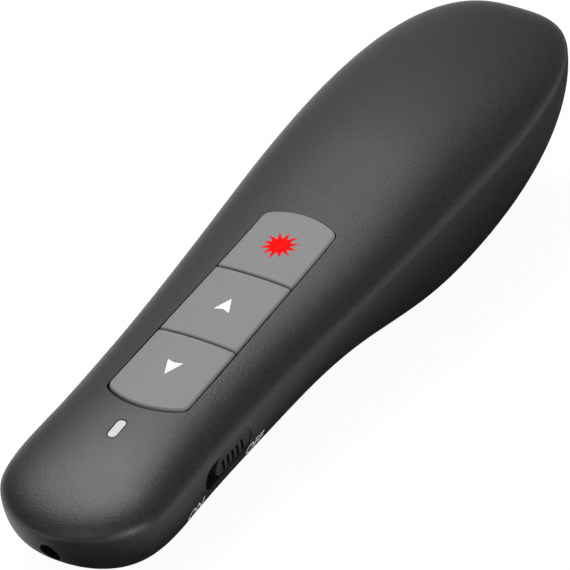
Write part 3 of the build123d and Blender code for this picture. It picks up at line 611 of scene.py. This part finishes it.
# ---- Keys: flush in their opening, with crisp corners where they meet ----
# Each end of the panel: where its tip lies, how deep it bows, and its half width.
KEY_NOSE = (24.5, 2.1, 6.35)
KEY_TAIL = (68.3, 1.45, 5.9)
BOW_STEPS = 24
# Middles of the two gaps between the keys, and how wide the gaps are.
KEY_SPLITS = (39.6, 54.4)
KEY_SPLIT_GAP = 0.28
# Radius of the cap's eased edge, and how far the crown stands over the form.
KEY_EDGE = 0.36
KEY_RISE = 0.13
# What a corner takes off each of its sides, and in how many steps it turns.
KEY_CORNER = (1.05, 8)
KEY_INNER_CORNER = (0.35, 4)
# The skirt's wall, and the height of the pocket's ceiling.
KEY_SKIRT = 1.0
KEY_POCKET_TOP = 3.6
KEY_FLANGE = {"top": 2.45, "foot": 1.95, "sideways": 0.45}
# The stem goes a little into the pocket's ceiling.
KEY_STEM = {"radius": 1.4, "foot": 1.95, "into": 0.02, "sides": 40}
# Where the crown's rings lie, from the key's middle to its edge, and the steps of that edge.
CROWN_RINGS = (0.12, 0.25, 0.38, 0.5, 0.62, 0.74, 0.86, 0.94)
EDGE_STEPS = 5
# A corner of a face keeps its own shading only where it faces at least this much as the face.
SHADING_MATCH = 0.5
KEYS = (
    ("page_up_button", "page_up_key"),
    ("page_down_button", "page_down_key"),
    ("laser_button", "laser_key"),
)
# The top shell's opening: where its ends lie in the node and as shown, and how much wider its
# sides are.
OPENING = {"nose": (23.9, 24.03), "tail": (68.05, 68.42), "sides": 0.07}
# The changes to the opening lie in this stretch and above foot. The wider sides fade over ends
# and over outside, and start a little inside the keys. The ends' shift fades to the middle, and
# beside the opening: up to a distance across, over a width.
OPENING_FADE = {
    "stretch": (21, 76),
    "foot": 0.5,
    "ends": (2, 4),
    "inside": 0.1,
    "outside": 4,
    "middle": 46,
    "beside": (11, 3),
}
# The shell sinks a little towards the keys, and its opening's corners draw in to theirs.
SINK = {"depth": 0.16, "reach": 4.5, "side": 6.15, "nose": 24.5, "tail": 68.3}
OPENING_CORNERS = {"nose": (6.75, 26.2), "tail": (6.15, 66.95), "reach": 2.0, "pull": 0.14}
# Points of the shell's top follow the skin wholly above this height, and less below it.
SKIN_FOLLOW = 2


def key_half_width(y):
    low, high = KEY_NOSE[0] + KEY_NOSE[1], KEY_TAIL[0] - KEY_TAIL[1]
    return KEY_NOSE[2] + (KEY_TAIL[2] - KEY_NOSE[2]) * (y - low) / (high - low)


def shape_top(x, y, z):
    """The top shell's changes: the seam, and a key opening that meets the keys."""
    x, y, z = close_seam(x, y, z)
    start, end = OPENING_FADE["stretch"]
    if z < OPENING_FADE["foot"] or not start < y < end:
        return x, y, z
    half = key_half_width(y) - OPENING_FADE["inside"]
    outside = abs(x) - half
    if outside < 0:
        push = abs(x) / half
    else:
        push = max(0.0, 1 - outside / OPENING_FADE["outside"])
    nose_fade, tail_fade = OPENING_FADE["ends"]
    push *= OPENING["sides"] * min(1.0, (y - start) / nose_fade, (end - y) / tail_fade)
    new_x = x + math.copysign(push, x)
    middle = OPENING_FADE["middle"]
    if y < middle:
        old, new = OPENING["nose"]
        share = (middle - y) / (middle - old) if y > old else (y - start) / (old - start)
    else:
        old, new = OPENING["tail"]
        share = (y - middle) / (old - middle) if y < old else (end - y) / (end - old)
    limit, width = OPENING_FADE["beside"]
    new_y = y + (new - old) * share * clamp((limit - abs(x)) / width)
    for tip, sign in (("nose", 1), ("tail", -1)):
        corner_x, corner_y = OPENING_CORNERS[tip]
        away = math.hypot(abs(x) - corner_x, y - corner_y)
        pull = OPENING_CORNERS["pull"] * max(0.0, 1 - away / OPENING_CORNERS["reach"])
        new_x -= math.copysign(pull, x)
        new_y += sign * pull
    lift = form_top(new_x, new_y) - form_top(x, y)
    past_end = max(SINK["nose"] - y, y - SINK["tail"], 0.0)
    away = math.hypot(max(0.0, abs(x) - SINK["side"]), past_end)
    lift -= SINK["depth"] * ease(max(0.0, 1 - away / SINK["reach"]))
    return new_x, new_y, z + lift * min(1.0, z / SKIN_FOLLOW)


def bow(end, side):
    """The bowed end of the key panel: points from one side to the other."""
    tip, depth, half = end
    radius = (half * half + depth * depth) / (2 * depth)
    points = []
    for i in range(BOW_STEPS + 1):
        x = half * (2 * i / BOW_STEPS - 1)
        points.append((x, tip + side * (radius - math.sqrt(radius**2 - x * x))))
    return points


def straight(first, second, step=0.5):
    count = max(2, math.ceil(math.dist(first, second) / step))
    a, b = Vector(first), Vector(second)
    return [tuple(a.lerp(b, i / count)) for i in range(count + 1)]


def trimmed(side, cut):
    """A side with the given length cut from its start."""
    points = list(side)
    while len(points) > 2 and math.dist(points[0], points[1]) <= cut:
        cut -= math.dist(points[0], points[1])
        points.pop(0)
    a, b = Vector(points[0]), Vector(points[1])
    points[0] = tuple(a.lerp(b, cut / (b - a).length))
    return points


def rounded(sides, corners):
    """One closed outline of sides that follow each other, each corner eased."""
    count = len(sides)
    eased = []
    for i, side in enumerate(sides):
        points = trimmed(side, corners[i][0])
        next_cut = corners[(i + 1) % count][0]
        eased.append(list(reversed(trimmed(list(reversed(points)), next_cut))))
    outline = []
    for i in range(count):
        j = (i + 1) % count
        outline += eased[i]
        a, b, c = Vector(eased[i][-1]), Vector(sides[i][-1]), Vector(eased[j][0])
        steps = corners[j][1]
        for k in range(1, steps):
            t = k / steps
            outline.append(tuple(a * (1 - t) ** 2 + b * (2 * t * (1 - t)) + c * t**2))
    return outline


def key_outline(index):
    """Outline of a key in plan, counted from the nose, anticlockwise seen from above."""
    if index == 0:
        near, near_corner = bow(KEY_NOSE, 1), KEY_CORNER
    else:
        low = KEY_SPLITS[index - 1] + KEY_SPLIT_GAP / 2
        near = straight((-key_half_width(low), low), (key_half_width(low), low))
        near_corner = KEY_INNER_CORNER
    if index == len(KEYS) - 1:
        far, far_corner = list(reversed(bow(KEY_TAIL, -1))), KEY_CORNER
    else:
        high = KEY_SPLITS[index] - KEY_SPLIT_GAP / 2
        far = straight((key_half_width(high), high), (-key_half_width(high), high))
        far_corner = KEY_INNER_CORNER
    sides = [near, straight(near[-1], far[0]), far, straight(far[-1], near[0])]
    return rounded(sides, [near_corner, near_corner, far_corner, far_corner])


def outward(outline):
    """Unit normals in plan at an anticlockwise outline's points."""
    count = len(outline)
    found = []
    for i in range(count):
        a, b = Vector(outline[i - 1]), Vector(outline[(i + 1) % count])
        along = (b - a).normalized()
        found.append(Vector((along.y, -along.x)))
    return found


def add_piece(name, bm, material, body, normals=None):
    """A piece that rides on a body, made of a bmesh, which is freed."""
    mesh = bpy.data.meshes.new(name)
    bm.to_mesh(mesh)
    bm.free()
    if normals:
        mesh.normals_split_custom_set(normals)
    piece = bpy.data.objects.new(name, mesh)
    bpy.context.scene.collection.objects.link(piece)
    piece.data.materials.append(material)
    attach(piece, body)
    return piece


def inset(outline, normals, distance):
    return [Vector(point) - normal * distance for point, normal in zip(outline, normals)]


def crown_point(x, y):
    """A point of a key's crown and the normal that shades it."""
    top = form_top(x, y)
    return x, y, top + KEY_RISE, form_normal((x, y, top))[1]


def cap_rings(outline, normals, middle, vertex):
    """Rings of a key's cap from the crown's middle out, over the eased edge, down the skirt."""
    rings = []
    rim = inset(outline, normals, KEY_EDGE)
    for share in CROWN_RINGS:
        rings.append([vertex(*crown_point(*middle.lerp(point, share))) for point in rim])
    for step in range(EDGE_STEPS + 1):
        turn = math.pi / 2 * (1 - step / EDGE_STEPS)
        ring = []
        edge = inset(outline, normals, KEY_EDGE * (1 - math.cos(turn)))
        for point, side in zip(edge, normals):
            x, y, z, normal = crown_point(*point)
            normal = normal * math.sin(turn) + side.to_3d() * math.cos(turn)
            ring.append(vertex(x, y, z - KEY_EDGE * (1 - math.sin(turn)), normal))
        rings.append(ring)
    foot = KEY_FLANGE["top"]
    rings.append([vertex(x, y, foot, n.to_3d()) for (x, y), n in zip(outline, normals)])
    return rings


def hollow_rings(outline, normals, vertex):
    """Rings of a key's foot flange and of the pocket inside it."""
    top, foot, reach = (KEY_FLANGE[size] for size in ("top", "foot", "sideways"))
    rings = []
    for z in (top, foot):
        rings.append([vertex(x + reach * n.x, y, z) for (x, y), n in zip(outline, normals)])
    for z in (foot, KEY_POCKET_TOP):
        rings.append([vertex(x, y, z) for x, y in inset(outline, normals, KEY_SKIRT)])
    return rings


def add_stem(bm, middle, vertex):
    """The stem that goes down from a key's pocket."""
    radius, sides = KEY_STEM["radius"], KEY_STEM["sides"]
    rings = []
    for z in (KEY_POCKET_TOP + KEY_STEM["into"], KEY_STEM["foot"]):
        ring = []
        for i in range(sides):
            turn = 2 * math.pi * i / sides
            ring.append(vertex(radius * math.cos(turn), middle.y + radius * math.sin(turn), z))
        rings.append(ring)
    top, foot = rings
    for i in range(sides):
        j = (i + 1) % sides
        bm.faces.new((top[i], foot[i], foot[j], top[j]))
    bm.faces.new(top)
    bm.faces.new(list(reversed(foot)))


def add_key(name, index, body, material):
    """A hollow key: crowned cap with an eased edge, skirt, foot flange, pocket and stem."""
    outline = key_outline(index)
    normals = outward(outline)
    count = len(outline)
    middle = Vector((0, sum(point[1] for point in outline) / count))
    bm = bmesh.new()
    shading = {}

    def vertex(x, y, z, normal=None):
        made = bm.verts.new(place((x, y, z)))
        if normal is not None:
            shading[made] = aim(normal).normalized()
        return made

    heart = vertex(*crown_point(*middle))
    cap = cap_rings(outline, normals, middle, vertex)
    rings = cap + hollow_rings(outline, normals, vertex)
    ceiling = vertex(*middle, KEY_POCKET_TOP)
    for i in range(count):
        j = (i + 1) % count
        bm.faces.new((heart, rings[0][i], rings[0][j]))
        for k, (inner, outer) in enumerate(zip(rings, rings[1:])):
            face = bm.faces.new((inner[i], outer[i], outer[j], inner[j]))
            face.smooth = k < len(cap) - 1
        bm.faces.new((rings[-1][i], ceiling, rings[-1][j]))
    add_stem(bm, middle, vertex)
    bm.normal_update()
    shades = []
    for face in bm.faces:
        for loop in face.loops:
            own = shading.get(loop.vert)
            if own is None or own.dot(face.normal) < SHADING_MATCH:
                own = face.normal
            shades.append(tuple(own))
    return add_piece(name, bm, material, body, normals=shades)


def add_keys(material):
    made = {}
    for index, (node, body) in enumerate(KEYS):
        made[node] = add_key(f"{node}_cap", index, body, material)
        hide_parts(node)
    return made


# ---- Printed marks, which lie on the surface of a node ----
STAR = {"centre": (0.0, 61.25), "reach": 2.9, "waist": 1.42, "spikes": 12, "uneven": (0.86, 1.06)}
STAR_SEED = 11
# Where the tip, the ends of the base and its notch lie, the half width, and the middle.
PAGE_DOWN_ARROW = (48.62, 45.87, 46.3, 1.21, 47.0)
PAGE_UP_ARROW = (31.15, 34.05, 33.75, 1.2, 33.0)
# Longest sides of the marks' outlines, and the shares at which rings lie inside an outline.
STAR_STEP = 0.5
ARROW_STEP = 0.4
MARK_RINGS = (1.0, 0.8, 0.6, 0.4, 0.2)
# Start of the word, height of its letters and how wide they are drawn.
WORD_ON = ((16.6, -6.2), 2.0, 0.95)
WORD_OFF = ((31.6, -6.1), 1.95, 0.88)
LETTER_WEIGHT = 0.013
LETTER_STEPS = 6
WINDOW_RIM = {"y": 19.0, "half_width": 0.735, "half_length": 1.81, "thickness": 0.1}
PILL_SIDES = 48
# The bore's painted shade, a black lining: its rim stays inside the oval and ends under the skin,
# which is measured a little outside that rim.
BORE_SHADE = {"radius": 1.53, "inside": 0.02, "outside": 0.09, "under": 0.04, "sides": 64}
# Outlines are drawn over and beside the housing, and pressed onto it from there.
TOP_HEIGHT = 8.0
SIDE_WIDTH = 20.0
PRESS_METRES = 0.02
INK_METRES = 0.00002
DOWN, LEFTWARD, TAILWARD = (0, 0, -1), (-1, 0, 0), (0, 1, 0)


def surface_of(piece):
    mesh = piece.data
    return BVHTree.FromPolygons(
        [v.co.copy() for v in mesh.vertices], [list(p.vertices) for p in mesh.polygons]
    )


def press_on(spot, surface, direction):
    """Where a line through a spot meets a surface, and the surface's outward normal there."""
    hit, normal, _, _ = surface.ray_cast(place(spot) - direction * PRESS_METRES, direction)
    if hit is None:
        raise ValueError("a mark misses its surface")
    if normal.dot(direction) > 0:
        normal.negate()
    return hit, normal


def pressed_ring(bm, outline, surface, lift):
    """New vertices where an outline pressed down meets a surface, lifted off it."""
    ring = []
    for point in outline:
        hit, normal = press_on(point, surface, aim(DOWN))
        ring.append(bm.verts.new(hit + normal * lift))
    return ring


def join_rings(bm, rings, smooth=False):
    """Faces between each ring and the next."""
    for outer, inner in zip(rings, rings[1:]):
        for i in range(len(outer)):
            j = (i + 1) % len(outer)
            bm.faces.new((outer[i], outer[j], inner[j], inner[i])).smooth = smooth


def print_on(name, outline, centre, surface, material, body):
    """A thin printed mark on a key, made of rings that shrink towards its centre."""
    middle = Vector(centre)
    bm = bmesh.new()
    rings = [pressed_ring(bm, outline, surface, -INK_METRES)]
    for share in MARK_RINGS:
        ring = [middle.lerp(Vector(point), share) for point in outline]
        rings.append(pressed_ring(bm, ring, surface, INK_METRES))
    heart = pressed_ring(bm, [middle], surface, INK_METRES)[0]
    join_rings(bm, rings)
    for i, vertex in enumerate(rings[-1]):
        bm.faces.new((vertex, rings[-1][(i + 1) % len(outline)], heart))
    bmesh.ops.recalc_face_normals(bm, faces=bm.faces)
    return add_piece(name, bm, material, body)


def star_outline():
    random.seed(STAR_SEED)
    ring = []
    half_step = math.pi / STAR["spikes"]
    for i in range(STAR["spikes"]):
        angle = 2 * half_step * i
        reach = STAR["reach"] * random.uniform(*STAR["uneven"])
        for turn, radius in ((0.0, reach), (half_step, STAR["waist"])):
            x = STAR["centre"][0] + radius * math.cos(angle + turn)
            y = STAR["centre"][1] + radius * math.sin(angle + turn)
            ring.append((x, y, TOP_HEIGHT))
    return dense(ring, STAR_STEP)


def arrow_outline(tip_y, base_y, notch_y, half_width):
    corners = [
        (0, tip_y, TOP_HEIGHT),
        (-half_width, base_y, TOP_HEIGHT),
        (0, notch_y, TOP_HEIGHT),
        (half_width, base_y, TOP_HEIGHT),
    ]
    return dense(corners, ARROW_STEP)


def dense(ring, step):
    """The ring with extra points along its sides, so that it can follow a curved surface."""
    points = []
    for a, b in zip(ring, ring[1:] + ring[:1]):
        a, b = Vector(a), Vector(b)
        parts = max(1, math.ceil((b - a).length / step))
        points += [a.lerp(b, i / parts) for i in range(parts)]
    return points


def word_on(name, text, layout, surface, material):
    """A printed word on the switch side, its letters upright and read towards the tail."""
    start, height, stretch = layout
    curve = bpy.data.curves.new(name, "FONT")
    curve.body = text
    curve.size = 1.0
    curve.resolution_u = LETTER_STEPS
    curve.offset = LETTER_WEIGHT
    holder = bpy.data.objects.new(name, curve)
    flat = bpy.data.meshes.new_from_object(holder)
    bpy.data.objects.remove(holder)
    bm = bmesh.new()
    bm.from_mesh(flat)
    bmesh.ops.triangulate(bm, faces=bm.faces)
    bmesh.ops.subdivide_edges(bm, edges=bm.edges, cuts=1)
    low = min(v.co.x for v in bm.verts)
    scale = height / max(v.co.y for v in bm.verts)
    direction = aim(LEFTWARD)
    for vertex in bm.verts:
        y = start[0] + (vertex.co.x - low) * scale * stretch
        z = start[1] + vertex.co.y * scale
        hit, normal = press_on((SIDE_WIDTH, y, z), surface, direction)
        vertex.co = hit + normal * INK_METRES
    bmesh.ops.recalc_face_normals(bm, faces=bm.faces)
    return add_piece(name, bm, material, "root")


def pill(wider):
    """The status window's outline in plan, made wider all round."""
    half_width = WINDOW_RIM["half_width"] + wider
    straight_half = WINDOW_RIM["half_length"] + wider - half_width
    points = []
    for i in range(PILL_SIDES):
        turn = 2 * math.pi * i / PILL_SIDES
        along = straight_half if math.sin(turn) >= 0 else -straight_half
        y = WINDOW_RIM["y"] + along + half_width * math.sin(turn)
        points.append((half_width * math.cos(turn), y, TOP_HEIGHT))
    return points


def rim_window(surface, material):
    """The thin dark ring round the status window: a painted shade line where the window meets the shell."""
    bm = bmesh.new()
    outer, inner = pill(WINDOW_RIM["thickness"]), pill(0.0)
    rings = [
        pressed_ring(bm, outline, surface, lift)
        for outline, lift in ((outer, -INK_METRES), (outer, INK_METRES), (inner, INK_METRES))
    ]
    join_rings(bm, rings)
    bmesh.ops.recalc_face_normals(bm, faces=bm.faces)
    return add_piece("status_window_rim", bm, material, "root")


def shade_bore(surface, material):
    """A black lining of the laser's bore, from just inside the nose to the lens ring: painted shade, so that the
    opening reads as a dark hole.
    """
    bm = bmesh.new()
    rings = [[], [], []]
    for i in range(BORE_SHADE["sides"]):
        turn = 2 * math.pi * i / BORE_SHADE["sides"]
        side, level = math.cos(turn), math.sin(turn)
        x = (HOLE["half_width"] - BORE_SHADE["inside"]) * side
        z = HOLE["z"] + (HOLE["half_height"] - BORE_SHADE["inside"]) * level
        beside = (x + BORE_SHADE["outside"] * side, 0, z + BORE_SHADE["outside"] * level)
        hit, _ = press_on(beside, surface, aim(TAILWARD))
        y = to_housing(hit)[1] + BORE_SHADE["under"]
        back_x, back_z = BORE_SHADE["radius"] * side, BORE["z"] + BORE_SHADE["radius"] * level
        spots = ((x, y, z), (back_x, HOLE["skin_end"], back_z), (back_x, BORE["back"], back_z))
        for ring, spot in zip(rings, spots):
            ring.append(bm.verts.new(place(spot)))
    join_rings(bm, rings, smooth=True)
    return add_piece("laser_bore_painted_shade", bm, material, "root")


def add_marks(keys, upper, under, materials):
    red, white, dark = (materials[ink] for ink in ("red_ink", "white_ink", "dark_bore"))
    star_key, down_key, up_key = (
        surface_of(keys[f"{name}_button"]) for name in ("laser", "page_down", "page_up")
    )
    star_centre = (*STAR["centre"], TOP_HEIGHT)
    print_on("laser_star", star_outline(), star_centre, star_key, red, "laser_key")
    arrows = (
        ("page_down_arrow", PAGE_DOWN_ARROW, down_key, "page_down_key"),
        ("page_up_arrow", PAGE_UP_ARROW, up_key, "page_up_key"),
    )
    for name, (*sizes, middle), surface, body in arrows:
        print_on(name, arrow_outline(*sizes), (0, middle, TOP_HEIGHT), surface, white, body)
    side = surface_of(under)
    shade_bore(side, dark)
    rim_window(surface_of(upper), dark)
    word_on("switch_word_on", "ON", WORD_ON, side, white)
    word_on("switch_word_off", "OFF", WORD_OFF, side, white)


# ---- Stage: a white floor, a white world and six area lights; lengths in metres ----
FLOOR_SIZE = 12
FLOOR_GLOW = 0.94
WORLD_STRENGTH = 0.2
# The floor's painted shadow, which only reflections show: a dark strip along the object, wider
# beside the palm, and how fast it turns white outside that.
PAINTED_SHADOW_STRIP = {"x": 0.007, "end": 0.05, "end_share": 0.2, "edge": (0.005, 0.024)}
PAINTED_SHADOW_PALM = {"from": -0.02, "to": 0.05, "wider": 0.022}
# Direction in the housing's axes, distance, width, watts, and height where it isn't the width.
LIGHTS = {
    "key": ((-0.335, 0.285, 0.885), 0.5, 0.3, 2.3),
    "back_fill": ((-0.75, 0.6, 0.36), 0.7, 0.6, 0.34),
    "nose_strip": ((-0.45, -0.87, 0.08), 0.7, 0.5, 0.62, 0.1),
    "side_fill": ((0.84, -0.42, 0.22), 0.7, 0.3, 2.2),
    "rim_strip": ((0.8, 0.6, 0.03), 0.7, 0.6, 0.08, 0.06),
    "front_fill": ((0.05, -0.66, 0.72), 0.7, 0.4, 0.7),
}


def area_light(name, direction, distance, width, watts, height=None):
    """An area light that faces the middle of the housing from a direction in its axes."""
    data = bpy.data.lights.new(name, "AREA")
    data.shape = "RECTANGLE"
    data.size = width
    data.size_y = height or width
    data.energy = watts
    light = bpy.data.objects.new(name, data)
    bpy.context.scene.collection.objects.link(light)
    towards = aim(Vector(direction).normalized())
    light.location = place((0, BODY_LENGTH / 2, 0)) + towards * distance
    light.rotation_mode = "QUATERNION"
    light.rotation_quaternion = towards.to_track_quat("Z", "Y")


def outside_painted_shadow(tree):
    """0 in the floor's painted shadow, under and beside the object, and 1 out on the open floor."""
    spot = add_node(tree, "ShaderNodeNewGeometry")
    apart = add_node(tree, "ShaderNodeSeparateXYZ")
    tree.links.new(spot.outputs["Position"], apart.inputs[0])
    x, y = apart.outputs["X"], apart.outputs["Y"]
    past_ends = math_node(tree, "SUBTRACT", math_node(tree, "ABSOLUTE", y), PAINTED_SHADOW_STRIP["end"])
    past_ends = math_node(tree, "MAXIMUM", past_ends, 0.0)
    beyond = math_node(tree, "MULTIPLY", past_ends, PAINTED_SHADOW_STRIP["end_share"])
    off_side = math_node(tree, "SUBTRACT", x, PAINTED_SHADOW_STRIP["x"])
    aside = math_node(tree, "MULTIPLY", off_side, off_side)
    along = math_node(tree, "MULTIPLY", beyond, beyond)
    distance = math_node(tree, "SQRT", math_node(tree, "ADD", aside, along))
    stretch = {"From Min": PAINTED_SHADOW_PALM["from"], "From Max": PAINTED_SHADOW_PALM["to"]}
    palm = add_node(tree, "ShaderNodeMapRange", {**stretch, "To Max": PAINTED_SHADOW_PALM["wider"]})
    tree.links.new(y, palm.inputs["Value"])
    distance = math_node(tree, "SUBTRACT", distance, palm.outputs["Result"])
    edge = dict(zip(("From Min", "From Max"), PAINTED_SHADOW_STRIP["edge"]))
    unshadowed = add_node(tree, "ShaderNodeMapRange", edge, interpolation_type="SMOOTHSTEP")
    tree.links.new(distance, unshadowed.inputs["Value"])
    return unshadowed.outputs["Result"]


def floor_white():
    """Glowing white for the camera; in reflections white only out on the open floor, past a painted shadow."""
    material, tree, shader = new_material("floor_white")
    path = add_node(tree, "ShaderNodeLightPath").outputs
    mirrored = math_node(tree, "MAXIMUM", path["Is Glossy Ray"], path["Is Transmission Ray"])
    mirrored = math_node(tree, "MULTIPLY", mirrored, outside_painted_shadow(tree))
    seen = math_node(tree, "MAXIMUM", path["Is Camera Ray"], mirrored)
    glow = math_node(tree, "MULTIPLY", seen, FLOOR_GLOW)
    tree.links.new(glow, shader.inputs["Emission Strength"])
    inputs = {
        "Base Color": (0.1, 0.1, 0.1, 1),
        "Roughness": 0.9,
        "Specular IOR Level": 0.0,
        "Emission Color": (1, 1, 1, 1),
    }
    set_inputs(shader, inputs)
    return material


def add_stage():
    bpy.ops.mesh.primitive_plane_add(size=FLOOR_SIZE, location=(0, 0, 0))
    floor = bpy.context.object
    floor.name = "floor"
    floor.data.materials.append(floor_white())
    floor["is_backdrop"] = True

    world = bpy.data.worlds.new("studio")
    world.use_nodes = True
    bpy.context.scene.world = world
    background = world.node_tree.nodes["Background"]
    set_inputs(background, {"Color": (1, 1, 1, 1), "Strength": WORLD_STRENGTH})

    for name, settings in LIGHTS.items():
        area_light(name, *settings)


add_camera()
materials = {slot: grained(*finish) for slot, finish in GRAINED.items()}
materials.update({slot: glassy(*finish) for slot, finish in GLASSY.items()})
finish_nodes(materials)
upper = smooth_skin("top_shell", shape_top)
lower = smooth_skin("bottom_shell", shape_under)
knob = smooth_skin("power_knob", shape_knob)
darken_grooves(knob, materials["dark_bore"])
smooth_skin("battery_cover")
keys = add_keys(materials["key_plastic"])
add_marks(keys, upper, lower, materials)
add_stage()
bpy.context.scene.view_settings.view_transform = "Standard"
[[list(corner) for corner in box] for box in (cad_box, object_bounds())]
